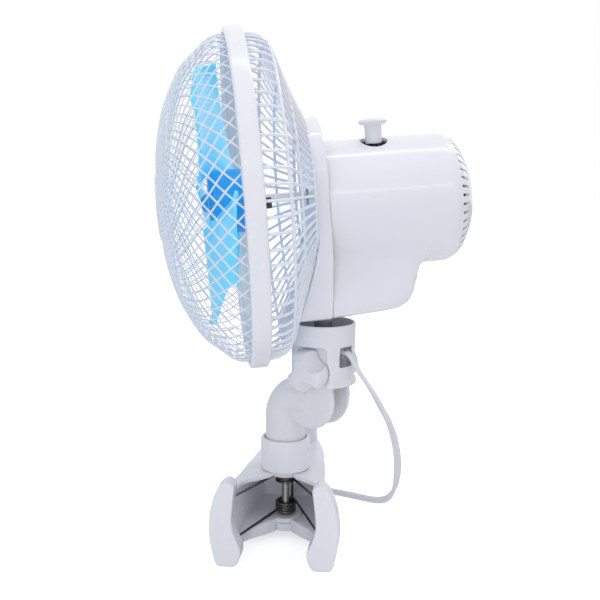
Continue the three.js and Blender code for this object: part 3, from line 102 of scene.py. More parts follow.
lens = bpy.data.cameras.new("photo_camera")
lens.lens, lens.sensor_width = LENS, SENSOR
camera = bpy.data.objects.new("photo_camera", lens)
bpy.context.scene.collection.objects.link(camera)
camera.location = CAMERA_PLACE
camera.rotation_euler = (math.radians(90 - CAMERA_PITCH), 0, math.radians(CAMERA_AZIMUTH))
bpy.context.scene.camera = camera


# Modelling helpers
def smooth(points, steps):
    """A smooth line through points, with that many steps to each stretch."""
    points = [Vector(point) for point in points]
    ends = [2 * points[0] - points[1]] + points + [2 * points[-1] - points[-2]]
    line = []
    for i in range(1, len(ends) - 2):
        p0, p1, p2, p3 = ends[i - 1:i + 3]
        knots = [0]
        for a, b in ((p0, p1), (p1, p2), (p2, p3)):
            knots.append(knots[-1] + max((b - a).length, 1e-9) ** 0.5)
        t0, t1, t2, t3 = knots
        for k in range(steps):
            t = t1 + (t2 - t1) * k / steps
            a1 = p0 * ((t1 - t) / (t1 - t0)) + p1 * ((t - t0) / (t1 - t0))
            a2 = p1 * ((t2 - t) / (t2 - t1)) + p2 * ((t - t1) / (t2 - t1))
            a3 = p2 * ((t3 - t) / (t3 - t2)) + p3 * ((t - t2) / (t3 - t2))
            b1 = a1 * ((t2 - t) / (t2 - t0)) + a2 * ((t - t0) / (t2 - t0))
            b2 = a2 * ((t3 - t) / (t3 - t1)) + a3 * ((t - t1) / (t3 - t1))
            line.append(b1 * ((t2 - t) / (t2 - t1)) + b2 * ((t - t1) / (t2 - t1)))
    return line + [points[-1]]


def arc(middle, radius, start, end, steps):
    """Points on an arc, from one angle to another in degrees."""
    angles = [math.radians(start + (end - start) * k / steps) for k in range(steps + 1)]
    return [(middle[0] + radius * math.cos(a), middle[1] + radius * math.sin(a)) for a in angles]


def lengths_along(line):
    """The length of the line up to each of its points."""
    total = [0]
    for a, b in zip(line, line[1:]):
        total.append(total[-1] + (b - a).length)
    return total


def active():
    return bpy.context.view_layer.objects.active


def pick(*pieces):
    bpy.ops.object.select_all(action="DESELECT")
    for piece in pieces:
        piece.select_set(True)
    bpy.context.view_layer.objects.active = pieces[0]


def edit(select="SELECT"):
    bpy.ops.object.mode_set(mode="EDIT")
    bpy.ops.mesh.select_all(action=select)


def done():
    bpy.ops.object.mode_set(mode="OBJECT")
    return active()


def outward():
    bpy.ops.mesh.select_all(action="SELECT")
    bpy.ops.mesh.remove_doubles(threshold=0.001)
    bpy.ops.mesh.normals_make_consistent(inside=False)


def draw(points, closed=False):
    """Edges through points, left in edit mode: a plane merged to one corner and drawn out."""
    points = [Vector(tuple(point) + (0,) * (3 - len(point))) for point in points]
    if closed:
        points.append(points[0])
    bpy.ops.object.select_all(action="DESELECT")
    bpy.ops.mesh.primitive_plane_add(size=1)
    edit()
    bpy.ops.mesh.merge(type="CENTER")
    bpy.ops.transform.translate(value=points[0])
    for before, after in zip(points, points[1:]):
        bpy.ops.mesh.extrude_vertices_move(TRANSFORM_OT_translate={"value": after - before})
    bpy.ops.mesh.select_all(action="SELECT")
    if closed:
        bpy.ops.mesh.remove_doubles(threshold=0.0001)


def turned(outline, sides=96, closed=False):
    """A turned form about z from an outline of (radius, height)."""
    draw([(radius, 0, height) for radius, height in outline], closed)
    bpy.ops.mesh.spin(steps=sides, angle=2 * math.pi, center=(0, 0, 0), axis=(0, 0, 1))
    outward()
    return done()


def slab(outline, low, high):
    """An outline in x and y, raised from low to high."""
    draw([(x, y, low) for x, y in outline], closed=True)
    bpy.ops.mesh.edge_face_add()
    bpy.ops.mesh.extrude_region_move(TRANSFORM_OT_translate={"value": (0, 0, high - low)})
    outward()
    return done()


def block(low, high):
    """A cuboid between two corners."""
    middle = (Vector(low) + Vector(high)) / 2
    bpy.ops.object.select_all(action="DESELECT")
    bpy.ops.mesh.primitive_cube_add(size=1, location=middle, scale=Vector(high) - Vector(low))
    bpy.ops.object.transform_apply(location=True, rotation=False, scale=True)
    return active()


def rod(radius, low, high, sides=48, at=(0, 0)):
    """A bar along z."""
    bpy.ops.object.select_all(action="DESELECT")
    bpy.ops.mesh.primitive_cylinder_add(
        vertices=sides, radius=radius, depth=high - low, location=(*at, (low + high) / 2))
    bpy.ops.object.transform_apply(location=True)
    return active()


def drawn_out(before, row):
    """The last row of vertices, drawn out of one row of points and on to the next."""
    bpy.ops.mesh.extrude_region_move()
    shape = bmesh.from_edit_mesh(active().data)
    for vertex in shape.verts:
        if vertex.select:
            nearest = min(range(len(before)), key=lambda k: (Vector(before[k]) - vertex.co).length_squared)
            vertex.co = row[nearest]
    bmesh.update_edit_mesh(active().data)


def lofted(rows, caps=True):
    """A skin over rows of points, each row drawn out of the one before it."""
    draw(rows[0], closed=True)
    if caps:
        bpy.ops.mesh.edge_face_add()
    for before, row in zip(rows, rows[1:]):
        drawn_out(before, row)
    outward()
    return done()


def wire(points, radius, resolution=1):
    """A round wire along points."""
    draw(points)
    done()
    bpy.ops.object.convert(target="CURVE")
    curve = active().data
    curve.bevel_depth, curve.bevel_resolution, curve.use_fill_caps = radius, resolution, True
    bpy.ops.object.convert(target="MESH")
    return active()


def moved(piece, matrix):
    """The piece's mesh carried to a place."""
    pick(piece)
    piece.matrix_world = matrix
    bpy.ops.object.transform_apply(location=True, rotation=True, scale=True)
    return piece


def joined(pieces):
    pick(*pieces)
    bpy.ops.object.join()
    return active()


def repeated(piece, matrices):
    """A copy of the piece at each place, joined into one."""
    copies = []
    for matrix in matrices:
        copy = piece.copy()
        copy.data = piece.data.copy()
        copy.data.transform(matrix)
        bpy.context.scene.collection.objects.link(copy)
        copies.append(copy)
    bpy.data.objects.remove(piece)
    return joined(copies)


def modified(piece, kind, **values):
    """The piece with a modifier of that kind applied."""
    pick(piece)
    change = piece.modifiers.new(kind.lower(), kind)
    for name, value in values.items():
        setattr(change, name, value)
    bpy.ops.object.modifier_apply(modifier=change.name)
    return piece


def boolean(piece, tools, operation="DIFFERENCE"):
    """The piece cut by, joined with or kept within each of the tools."""
    for tool in tools:
        modified(piece, "BOOLEAN", operation=operation, solver="EXACT", object=tool)
        bpy.data.objects.remove(tool)
    return piece


def bevelled(piece, width, segments=3, angle=30):
    return modified(piece, "BEVEL", width=width, segments=segments, limit_method="ANGLE",
                    angle_limit=math.radians(angle))


def walled(piece, wall):
    """A wall of that thickness inside the piece's skin."""
    return modified(piece, "SOLIDIFY", thickness=wall, offset=-1, use_even_offset=True)


def melted(piece, voxel, rounds):
    """The piece's parts run into one moulding with soft edges."""
    modified(piece, "REMESH", mode="VOXEL", voxel_size=voxel, use_smooth_shade=True)
    return modified(piece, "SMOOTH", factor=0.5, iterations=rounds)


def carried(piece, matrix):
    """The piece with its mesh turned or moved by a matrix."""
    piece.data.transform(matrix)
    return piece


def dress(piece, name, body, material, *replaced, angle=35, place=None):
    """Names the finished piece, puts it in its place and hands it to its body."""
    if place is not None:
        moved(piece, place)
    pick(piece)
    piece.name = piece.data.name = name
    piece.data.materials.clear()
    piece.data.materials.append(material)
    bpy.ops.object.shade_smooth_by_angle(angle=math.radians(angle))
    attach(piece, body)
    if replaced:
        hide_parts(*replaced)
    return piece


def plate_x(outline, low, high):
    """An outline in y and z, carried along x."""
    piece = slab(outline, low, high)
    return carried(piece, TO_X)


def plate_y(outline, low, high):
    """An outline in x and z, carried along y."""
    piece = slab(outline, -high, -low)
    return carried(piece, UPRIGHT)


def rod_x(radius, low, high, sides=48, at=(0, 0)):
    piece = rod(radius, low, high, sides, at)
    return carried(piece, TO_X)


def sweep_rod(radius, low, high, sides=64):
    """A bar round the sweep axis, in the head's directions."""
    piece = rod(radius * MM, low * MM, high * MM, sides)
    return carried(piece, HEAD.inverted() @ Matrix.Translation(MOVED * MM))


# Finishes
WHITE = (1, 1, 1, 1)
SCUFF_STRETCH, SCUFF_FROM, CLOUD_GLOSS = (260, 900, 260), 0.66, 0.12
STAIN_SIZE, LINE_GLOSS, BAND_WAVER, COAT_ROUGHNESS, BUMP_REACH = 220, 0.3, 0.4, 0.08, 0.00012


def linear(red, green, blue):
    """The colour that renders as these 0 to 255 values."""
    parts = [value / 255 for value in (red, green, blue)]
    return tuple(v / 12.92 if v < 0.04045 else ((v + 0.055) / 1.055) ** 2.4 for v in parts) + (1,)


def fill_in(node, values):
    """Sets the node's inputs by their labels."""
    for label, value in values.items():
        node.inputs[label].default_value = value


def node_group(name, given):
    """A shared finish: the given values go in, and a colour, a roughness and a height come out."""
    tree = bpy.data.node_groups.new(name, "ShaderNodeTree")
    results = {"Colour": WHITE, "Roughness": 0, "Height": 0}
    for side, sockets in (("INPUT", given), ("OUTPUT", results)):
        for label, value in sockets.items():
            kind = "NodeSocketColor" if isinstance(value, tuple) else "NodeSocketFloat"
            tree.interface.new_socket(name=label, in_out=side, socket_type=kind).default_value = value
    return tree, tree.nodes.new("NodeGroupInput").outputs, tree.nodes.new("NodeGroupOutput").inputs


def noise(tree, vector, scale, detail=2):
    texture = tree.nodes.new("ShaderNodeTexNoise")
    fill_in(texture, {"Detail": detail})
    tree.links.new(vector, texture.inputs["Vector"])
    if isinstance(scale, (int, float)):
        texture.inputs["Scale"].default_value = scale
    else:
        tree.links.new(scale, texture.inputs["Scale"])
    return texture.outputs["Fac"]


def arithmetic(tree, operation, *values):
    node = tree.nodes.new("ShaderNodeMath")
    node.operation = operation
    for socket, value in zip(node.inputs, values):
        if isinstance(value, (int, float)):
            socket.default_value = value
        else:
            tree.links.new(value, socket)
    return node.outputs[0]


def blend_colour(tree, factor, first, second):
    node = tree.nodes.new("ShaderNodeMix")
    node.data_type = "RGBA"
    for name, value in (("Factor", factor), ("A", first), ("B", second)):
        socket = next(s for s in node.inputs
                      if s.name == name and s.type in ("VALUE", "RGBA") and s.enabled)
        if hasattr(value, "node"):
            tree.links.new(value, socket)
        else:
            socket.default_value = value
    return next(s for s in node.outputs if s.enabled)


def moulded_group():
    """Moulded plastic: soft cloudy shade, a fine grain and faint scuffs."""
    tree, given, result = node_group("moulded_plastic", {
        "Colour": WHITE, "Shade": (0.8, 0.8, 0.8, 1), "Cloud Size": 30, "Cloud": 0.2,
        "Grain Size": 1500, "Grain": 0.3, "Roughness": 0.3, "Scuff": 0.1})
    place = tree.nodes.new("ShaderNodeTexCoord").outputs["Object"]
    cloud = noise(tree, place, given["Cloud Size"], 4)
    amount = arithmetic(tree, "MULTIPLY", cloud, given["Cloud"])
    tree.links.new(blend_colour(tree, amount, given["Colour"], given["Shade"]), result["Colour"])
    stretch = tree.nodes.new("ShaderNodeMapping")
    fill_in(stretch, {"Scale": SCUFF_STRETCH})
    tree.links.new(place, stretch.inputs["Vector"])
    scuff = arithmetic(tree, "GREATER_THAN", noise(tree, stretch.outputs["Vector"], 1, 3), SCUFF_FROM)
    scuffed = arithmetic(tree, "MULTIPLY", scuff, given["Scuff"])
    wavy = arithmetic(tree, "MULTIPLY", arithmetic(tree, "SUBTRACT", cloud, 0.5), CLOUD_GLOSS)
    rough = arithmetic(tree, "ADD", arithmetic(tree, "ADD", given["Roughness"], wavy), scuffed)
    tree.links.new(rough, result["Roughness"])
    grain = noise(tree, place, given["Grain Size"])
    tree.links.new(arithmetic(tree, "MULTIPLY", grain, given["Grain"]), result["Height"])
    return tree


def metal_group():
    """Drawn or turned metal: fine lines, stains and a changing gloss."""
    tree, given, result = node_group("drawn_metal", {
        "Colour": (0.5, 0.5, 0.5, 1), "Stain": (0.2, 0.18, 0.16, 1), "Stains": 0.4,
        "Line Size": 2500, "Lines": 0.3, "Roughness": 0.3})
    place = tree.nodes.new("ShaderNodeTexCoord").outputs["Object"]
    stain = arithmetic(tree, "MULTIPLY", noise(tree, place, STAIN_SIZE, 5), given["Stains"])
    tree.links.new(blend_colour(tree, stain, given["Colour"], given["Stain"]), result["Colour"])
    lines = noise(tree, place, given["Line Size"])
    uneven = arithmetic(tree, "MULTIPLY", arithmetic(tree, "SUBTRACT", lines, 0.5), LINE_GLOSS)
    tree.links.new(arithmetic(tree, "ADD", given["Roughness"], uneven), result["Roughness"])
    tree.links.new(arithmetic(tree, "MULTIPLY", lines, given["Lines"]), result["Height"])
    return tree


MOULDED, METAL = moulded_group(), metal_group()


def finish(name, group, values, metallic=0, coat=0, pattern=None, **settings):
    """A material that takes its colour, gloss and bump from a shared group."""
    material = bpy.data.materials.new(name)
    material.use_nodes = True
    tree = material.node_tree
    shader = tree.nodes["Principled BSDF"]
    source = tree.nodes.new("ShaderNodeGroup")
    source.node_tree = group
    fill_in(source, values)
    fill_in(shader, {"Metallic": metallic, "Coat Weight": coat, "Coat Roughness": COAT_ROUGHNESS})
    fill_in(shader, {label.replace("_", " ").title(): value for label, value in settings.items()})
    bump = tree.nodes.new("ShaderNodeBump")
    fill_in(bump, {"Distance": BUMP_REACH})
    colour, height = source.outputs["Colour"], source.outputs["Height"]
    if pattern:
        colour, height = pattern(tree, colour, height)
    tree.links.new(colour, shader.inputs["Base Color"])
    tree.links.new(source.outputs["Roughness"], shader.inputs["Roughness"])
    tree.links.new(height, bump.inputs["Height"])
    tree.links.new(bump.outputs["Normal"], shader.inputs["Normal"])
    return material


def bands(direction, scale, depth, dark):
    """Stripes across a direction, as on laminations, windings and ribbed rubber."""
    def add(tree, colour, height):
        place = tree.nodes.new("ShaderNodeTexCoord").outputs["Object"]
        wave = tree.nodes.new("ShaderNodeTexWave")
        wave.wave_type, wave.bands_direction = "BANDS", direction
        fill_in(wave, {"Scale": scale, "Distortion": BAND_WAVER})
        tree.links.new(place, wave.inputs["Vector"])
        raised = arithmetic(tree, "MULTIPLY", wave.outputs["Fac"], depth)
        return (blend_colour(tree, arithmetic(tree, "SUBTRACT", 1, wave.outputs["Fac"]), colour, dark),
                arithmetic(tree, "ADD", height, raised))
    return add


def plastic(name, colour, shade, roughness, coat=0.0, cloud=0.25, grain=0.25, scuff=0.05, **settings):
    return finish(name, MOULDED, {
        "Colour": linear(*colour), "Shade": linear(*shade), "Roughness": roughness,
        "Cloud": cloud, "Grain": grain, "Scuff": scuff}, coat=coat, **settings)


def metal(name, colour, stain, roughness, stains=0.4, lines=0.3, pattern=None):
    return finish(name, METAL, {
        "Colour": linear(*colour), "Stain": linear(*stain), "Roughness": roughness,
        "Stains": stains, "Lines": lines}, metallic=1, pattern=pattern)


housing_white = plastic("housing_white", (240, 241, 247), (228, 230, 240), 0.17, coat=0.35, grain=0.1)
guard_white = plastic("guard_white", (242, 243, 248), (229, 232, 242), 0.24, coat=0.2, grain=0.15)
net_white = plastic("net_white", (240, 243, 249), (220, 228, 241), 0.3, grain=0.1)
arm_white = plastic("arm_white", (236, 236, 241), (222, 222, 229), 0.4, grain=0.35, scuff=0.08)
clip_white = plastic("clip_white", (240, 241, 247), (227, 229, 238), 0.24, coat=0.2, grain=0.2)
cord_white = plastic("cord_white", (232, 233, 238), (212, 216, 226), 0.42, grain=0.4)
plug_white = plastic("plug_white", (235, 236, 240), (214, 217, 226), 0.38, grain=0.4)
# Painted light: the blades glow faintly by emission, a painted brightness standing in for light passing
# through the thin blue plastic
glowing_blade_blue = plastic("glowing_blade_blue", (112, 222, 255), (98, 212, 253), 0.3, grain=0.1, cloud=0.4,
                     emission_color=linear(110, 214, 255), emission_strength=0.22)
# Painted light: the hub and spinner nut glow faintly by emission, a painted brightness added to their blue
glowing_hub_blue = plastic("glowing_hub_blue", (0, 166, 242), (0, 154, 234), 0.3, grain=0.15, cloud=0.5,
                   emission_color=linear(0, 150, 235), emission_strength=0.12)
dark_plastic = plastic("dark_plastic", (48, 47, 46), (34, 33, 33), 0.45, grain=0.4)
wheel_nylon = plastic("wheel_nylon", (224, 222, 208), (204, 200, 182), 0.4, grain=0.3)
pad_rubber = finish("pad_rubber", MOULDED, {
    "Colour": linear(196, 199, 206), "Shade": linear(176, 180, 188), "Roughness": 0.75, "Cloud": 0.5,
    "Grain": 0.8, "Scuff": 0.1}, pattern=bands("Z", 190, 2.5, linear(150, 154, 162)))
spring_nickel = metal("spring_nickel", (122, 117, 108), (62, 58, 52), 0.26, stains=0.6)
screw_zinc = metal("screw_zinc", (176, 174, 168), (120, 116, 108), 0.3)
spindle_steel = metal("spindle_steel", (70, 68, 66), (40, 38, 36), 0.35)
lamination_iron = metal("lamination_iron", (132, 134, 138), (90, 88, 86), 0.45,
                        pattern=bands("Y", 320, 2, linear(70, 70, 74)))
cast_zinc = metal("cast_zinc", (150, 152, 156), (108, 108, 112), 0.48, lines=0.8)
winding_copper = metal("winding_copper", (184, 106, 62), (120, 58, 30), 0.32,
                       pattern=bands("Z", 420, 3, linear(96, 44, 22)))
bush_brass = metal("bush_brass", (196, 158, 88), (142, 104, 50), 0.3)
shaft_steel = metal("shaft_steel", (218, 218, 220), (184, 184, 188), 0.3)
pin_brass = metal("pin_brass", (206, 178, 118), (150, 118, 66), 0.22, stains=0.25)


# Light, background and floor
FILL_TINT, FILL_LIGHT = (0.93, 0.95, 1, 1), 0.54
FLOOR_COLOUR, FLOOR_SIZE, FLOOR_DROP, FLOOR_LIFT = (0.86, 0.86, 0.87, 1), 6, 0.0002, 0.6
# Each lamp's name, place, aim, size, power and whether glossy surfaces mirror it
LAMPS = [
    ("top_box", (0.25, 0.05, 1.25), (0, 0, 0.18), (0.9, 0.9), 3.4, False),
    ("camera_side_box", (1.1, -0.75, 0.75), (0, 0, 0.2), (0.5, 0.9), 0.5, False),
    ("far_strip", (-0.6, 0.9, 0.9), (0, 0, 0.2), (0.25, 1), 2, True),
    ("low_box", (0.8, -0.25, 0.07), (0, -0.02, 0.05), (0.4, 0.12), 0.9, False),
    ("side_line", (1.1, 0.15, 0.72), (0, 0.15, 0.2), (1.6, 0.04), 0.9, True),
    ("top_line", (-0.15, 0.05, 1.4), (0, 0.05, 0.2), (1.6, 0.05), 2, True),
]


def backdrop():
    world = bpy.data.worlds.new("studio")
    bpy.context.scene.world = world
    world.use_nodes = True
    tree = world.node_tree
    fill = tree.nodes["Background"]
    fill_in(fill, {"Color": FILL_TINT, "Strength": FILL_LIGHT})
    seen = tree.nodes.new("ShaderNodeBackground")
    fill_in(seen, {"Color": WHITE})
    path = tree.nodes.new("ShaderNodeLightPath")
    either = arithmetic(tree, "MAXIMUM", path.outputs["Is Camera Ray"], path.outputs["Is Glossy Ray"])
    any_ray = arithmetic(tree, "MAXIMUM", either, path.outputs["Is Transmission Ray"])
    mix = tree.nodes.new("ShaderNodeMixShader")
    tree.links.new(any_ray, mix.inputs[0])
    tree.links.new(fill.outputs[0], mix.inputs[1])
    tree.links.new(seen.outputs[0], mix.inputs[2])
    tree.links.new(mix.outputs[0], tree.nodes["World Output"].inputs["Surface"])


def floor():
    bpy.ops.object.select_all(action="DESELECT")
    bpy.ops.mesh.primitive_plane_add(size=FLOOR_SIZE, location=(0, 0, -FLOOR_DROP))
    ground = active()
    ground.name = "studio_floor"
    material = bpy.data.materials.new("studio_floor")
    material.use_nodes = True
    tree = material.node_tree
    shader = tree.nodes["Principled BSDF"]
    fill_in(shader, {"Base Color": FLOOR_COLOUR, "Roughness": 1, "Specular IOR Level": 0})
    glow = tree.nodes.new("ShaderNodeEmission")
    path = tree.nodes.new("ShaderNodeLightPath")
    fill_in(glow, {"Color": WHITE})
    tree.links.new(arithmetic(tree, "MULTIPLY", path.outputs["Is Camera Ray"], FLOOR_LIFT),
                   glow.inputs["Strength"])
    both = tree.nodes.new("ShaderNodeAddShader")
    tree.links.new(shader.outputs[0], both.inputs[0])
    tree.links.new(glow.outputs[0], both.inputs[1])
    tree.links.new(both.outputs[0], tree.nodes["Material Output"].inputs["Surface"])
    ground.data.materials.append(material)


def lamp(name, place, target, size, power, mirrored):
    light = bpy.data.lights.new(name, "AREA")
    light.shape, light.size, light.size_y, light.energy = "RECTANGLE", size[0], size[1], power
    holder = bpy.data.objects.new(name, light)
    bpy.context.scene.collection.objects.link(holder)
    holder.location = place
    holder.rotation_euler = (Vector(target) - Vector(place)).to_track_quat("-Z", "Y").to_euler()
    holder.visible_glossy = mirrored


bpy.context.scene.view_settings.view_transform = "Standard"
backdrop()
floor()
for lamp_values in LAMPS:
    lamp(*lamp_values)


# Cord: flat twin lead, its put-away hank, the tie and the plug
CORD_WIDTH, CORE_RADIUS = 4.6, 1.3
CORD_ROUTE = [
    (10.9, 10.9, 121.2), (12.2, 12.2, 121.2), (14, 14.8, 118.2), (15.1, 18.2, 111.6), (15.4, 23.8, 103),
    (14.6, 28.4, 95.6), (12.6, 32.8, 87.6), (10, 37.3, 79.6), (6.2, 41.4, 69.6), (1.2, 44.8, 58.4),
    (-5, 47.2, 46.2), (-12.6, 48.6, 34.4), (-22, 49, 23.2), (-33.5, 47.8, 13.6), (-46.5, 44.4, 7.2),
    (-58, 37.6, 4.4), (-67.4, 28.8, 3.6), (-74.8, 18.6, 3.5), (-80.8, 10.2, 3.5),
]
HANK_RUN, HANK_FOLD, HANK_PITCH, HANK_LAYER, HANK_WAIST, HANK_LOOPS = 80, 13.8, 5.15, 5.1, 4, 3
HANK_FLOOR_GAP, HANK_CENTRE, HANK_DEGREES = 1.2, (-140.9, -8.4), 169
END_STEPS, RUN_STEPS, GAP = 8, 4, 0.3
TAIL_BEND, TAIL_DEGREES = 20, 46
TWIST_HEIGHTS = (60, 8)
LOOP_STEPS = 2 * (END_STEPS + RUN_STEPS)
HANK_STEPS = HANK_LOOPS * LOOP_STEPS + RUN_STEPS
HANK_EDGE = HANK_FOLD + HANK_PITCH * HANK_STEPS / (2 * LOOP_STEPS)
TIE_WIDTH, TIE_THICKNESS, TIE_ROUND = 7, 0.8, 2.4
PLUG_LENGTH, PLUG_WIDTH, PLUG_HEIGHT, PLUG_NOSE, PLUG_NOSE_RADIUS = 26, 20, 17, 14, 4.4
PLUG_ROUND, PLUG_GRIPS, GRIP_WIDTH, GRIP_DEPTH = 3, (6, 9, 12, 15, 18), 1.2, 0.5
PIN_LENGTH, PIN_WIDTH, PIN_THICKNESS, PIN_SPREAD = 16, 6.3, 1.5, 6.35
PIN_ROUND, PIN_HOLE, PIN_HOLE_SHARE = 0.5, 1.5, 0.7

HANK = scaled(Matrix.Translation(
    (MOVED + Vector((*HANK_CENTRE, HANK_FLOOR_GAP + CORD_WIDTH / 2))) * MM) @ turn(HANK_DEGREES, "Z"))


def hank_point(step):
    """The cord in the hank: two layers of long loops, in and out, drawn in at the waist."""
    place = step % LOOP_STEPS
    half = HANK_FOLD + HANK_PITCH * abs(step - HANK_STEPS / 2) / LOOP_STEPS
    climb = min(1, max(0, (step - HANK_STEPS / 2) / RUN_STEPS + 0.5))
    side = 1 if place < END_STEPS + RUN_STEPS else -1
    along = place if side > 0 else place - END_STEPS - RUN_STEPS
    folded = along > RUN_STEPS
    angle = math.pi * (along - RUN_STEPS) / END_STEPS - math.pi / 2 if folded else -math.pi / 2
    run = 0.5 if folded else along / RUN_STEPS - 0.5
    waist = 0 if folded else HANK_WAIST * math.cos(math.pi * run) ** 2
    return Vector((side * (HANK_RUN * run + half * math.cos(angle)),
                   side * (half * math.sin(angle) + waist), HANK_LAYER * climb))


def hank_line():
    line = [Vector((-HANK_RUN / 2 - CORD_WIDTH, -HANK_EDGE, 0))]
    line += [hank_point(step) for step in range(HANK_STEPS + 1)]
    bend, swing = HANK_RUN / 2 + CORD_WIDTH, math.radians(TAIL_DEGREES)
    far = (bend + 2 * TAIL_BEND * math.sin(swing), TAIL_BEND - HANK_EDGE - 2 * TAIL_BEND * math.cos(swing))
    tail = arc((bend, TAIL_BEND - HANK_EDGE), TAIL_BEND, -90, TAIL_DEGREES - 90, 4)
    tail += arc(far, TAIL_BEND, 90 + TAIL_DEGREES, 90, 4)
    line += [Vector((x, y, HANK_LAYER)) for x, y in tail]
    return line + [line[-1] + Vector((CORD_WIDTH, 0, 0))]


def cord_line():
    """The whole cord from the cup to the plug, in metres."""
    hank = [HANK @ point for point in hank_line()]
    lead = (hank[1] - hank[0]).normalized() * MM
    route = [(Vector(point) + MOVED) * MM for point in CORD_ROUTE]
    route += [hank[0] - lead * (GAP + CORD_WIDTH), hank[0] - lead * GAP]
    return smooth(route, 3)[:-1] + smooth(hank, 2)


def twin_section():
    """The outline of two cores side by side, as (across, thick)."""
    half = CORD_WIDTH / 2 - CORE_RADIUS
    meet = 180 - math.degrees(math.acos(half / CORE_RADIUS))
    right = arc((half, 0), CORE_RADIUS, -meet, meet, 8)
    return right[:-1] + [(-x, -y) for x, y in right[:-1]]


def twin_cord(name, line):
    """The lead's skin: level on its way down, then turned on edge as it goes into the hank."""
    up = Vector((0, 0, 1))
    turn_from = next(k for k, point in enumerate(line) if point.z < TWIST_HEIGHTS[0] * MM)
    turn_to = next(k for k, point in enumerate(line) if point.z < TWIST_HEIGHTS[1] * MM)
    section = twin_section()
    shape = bmesh.new()
    rings = []
    for k, point in enumerate(line):
        along = (line[min(k + 1, len(line) - 1)] - line[max(k - 1, 0)]).normalized()
        level = along.cross(up).normalized()
        share = min(1, max(0, (k - turn_from) / (turn_to - turn_from)))
        angle = math.pi / 2 * share * share * (3 - 2 * share)
        across = level * math.cos(angle) + level.cross(along) * math.sin(angle)
        thick = along.cross(across)
        rings.append([shape.verts.new(point + (across * x + thick * y) * MM) for x, y in section])
    for before, after in zip(rings, rings[1:]):
        for k in range(len(section)):
            j = (k + 1) % len(section)
            shape.faces.new((before[k], before[j], after[j], after[k]))
    shape.faces.new(rings[0])
    shape.faces.new(rings[-1][::-1])
    bmesh.ops.recalc_face_normals(shape, faces=shape.faces)
    mesh = bpy.data.meshes.new(name)
    shape.to_mesh(mesh)
    shape.free()
    piece = bpy.data.objects.new(name, mesh)
    bpy.context.scene.collection.objects.link(piece)
    return piece


line = cord_line()
cord = dress(twin_cord("lead", line), "flat_twin_lead", "arm", cord_white,
             "power_cord", "cord_hank", angle=60)


def tie():
    """A soft strap round the hank's waist."""
    room, inner_round = CORD_WIDTH / 2 + GAP, TIE_ROUND - TIE_THICKNESS
    side = room - HANK_WAIST + TIE_WIDTH * HANK_WAIST / HANK_RUN - inner_round
    right, left = HANK_FOLD + HANK_PITCH + side, -HANK_FOLD - 1.5 * HANK_PITCH - side
    low, high = inner_round - room, HANK_LAYER + room - inner_round
    corners = (((right, high), 0), ((left, high), 90), ((left, low), 180), ((right, low), 270))

    def loop(radius):
        return [point for middle, start in corners for point in arc(middle, radius, start, start + 90, 4)]

    strap = plate_x(loop(TIE_ROUND), -TIE_WIDTH / 2, TIE_WIDTH / 2)
    boolean(strap, [plate_x(loop(inner_round), -TIE_WIDTH, TIE_WIDTH)])
    return bevelled(strap, 0.25, 2)


def plug():
    """A soft body with grip ribs, and a tapered sleeve that takes the cord."""
    nose_end, half = GAP + PLUG_NOSE, PLUG_WIDTH / 2
    sleeve = turned([(POLE, GAP), (PLUG_NOSE_RADIUS * 0.8, GAP), (PLUG_NOSE_RADIUS, GAP + 1),
                     (0.3 * PLUG_HEIGHT, nose_end - 4), (0.4 * PLUG_HEIGHT, nose_end + 1),
                     (POLE, nose_end + 1)], 32)
    sleeve.data.transform(TO_X)
    body = block((nose_end, -half, -PLUG_HEIGHT / 2), (nose_end + PLUG_LENGTH, half, PLUG_HEIGHT / 2))
    bevelled(body, PLUG_ROUND, 4)
    boolean(body, [block((nose_end + x, side * half - GRIP_DEPTH, -PLUG_HEIGHT),
                         (nose_end + x + GRIP_WIDTH, side * half + GRIP_DEPTH, PLUG_HEIGHT))
                   for side in (-1, 1) for x in PLUG_GRIPS])
    return melted(joined([body, sleeve]), 0.45, 3)


def plug_blade(side):
    """A flat pin with a hole near its tip."""
    start = 2 * GAP + PLUG_NOSE + PLUG_LENGTH
    pin = block((start, side * PIN_SPREAD - PIN_THICKNESS / 2, -PIN_WIDTH / 2),
                (start + PIN_LENGTH, side * PIN_SPREAD + PIN_THICKNESS / 2, PIN_WIDTH / 2))
    bevelled(pin, PIN_ROUND, 2)
    hole = rod(PIN_HOLE, -PIN_THICKNESS, PIN_THICKNESS, 24)
    place = (start + PIN_HOLE_SHARE * PIN_LENGTH, side * PIN_SPREAD, 0)
    hole.data.transform(Matrix.Translation(place) @ UPRIGHT)
    return boolean(pin, [hole])


strap = dress(tie(), "hank_strap", "arm", dark_plastic, "cord_tie", place=HANK)
PLUG = HANK @ Matrix.Translation(hank_line()[-1])
dress(plug(), "plug_moulding", "arm", plug_white, "plug_body", place=PLUG)
for number, side in ((1, -1), (2, 1)):
    dress(plug_blade(side), f"plug_blade_{number}", "arm", pin_brass, f"plug_pin_{number}", place=PLUG)


# Guards
RING_EDGE, SEAM_HALF, SEAM_REACH, SEAM_DEPTH, SEAM_DEGREES = 0.4, 0.25, 2.4, 0.35, (-70, 110)
NET_CELL_SHARE, NET_CELL_LEAST, NET_RIM_HALF = 1.08, 30, (0.7, 1.2)
# The badge's face as (share of its radius, height over its back), and the net's seat behind it
BADGE_BACK, BADGE_THICK = 46.9, 2.1
BADGE_GROOVE, BADGE_GROOVE_WIDTH, BADGE_GROOVE_HEIGHT = 15.4, 0.5, 1.55
BADGE_LINE = [(0.308, 2.05), (0.615, 1.9), (0.872, 1.6), (0.954, 1.2), (1, 0.4), (1, 0)]
BADGE_SEAT = [(-4, 0.4), (-1, 0.6), (-1, -0.8), (-4, -1)]
CATCH_LOW, CATCH_HIGH = (87, 5.4, 0.5), (90.2, 8, 5.5)
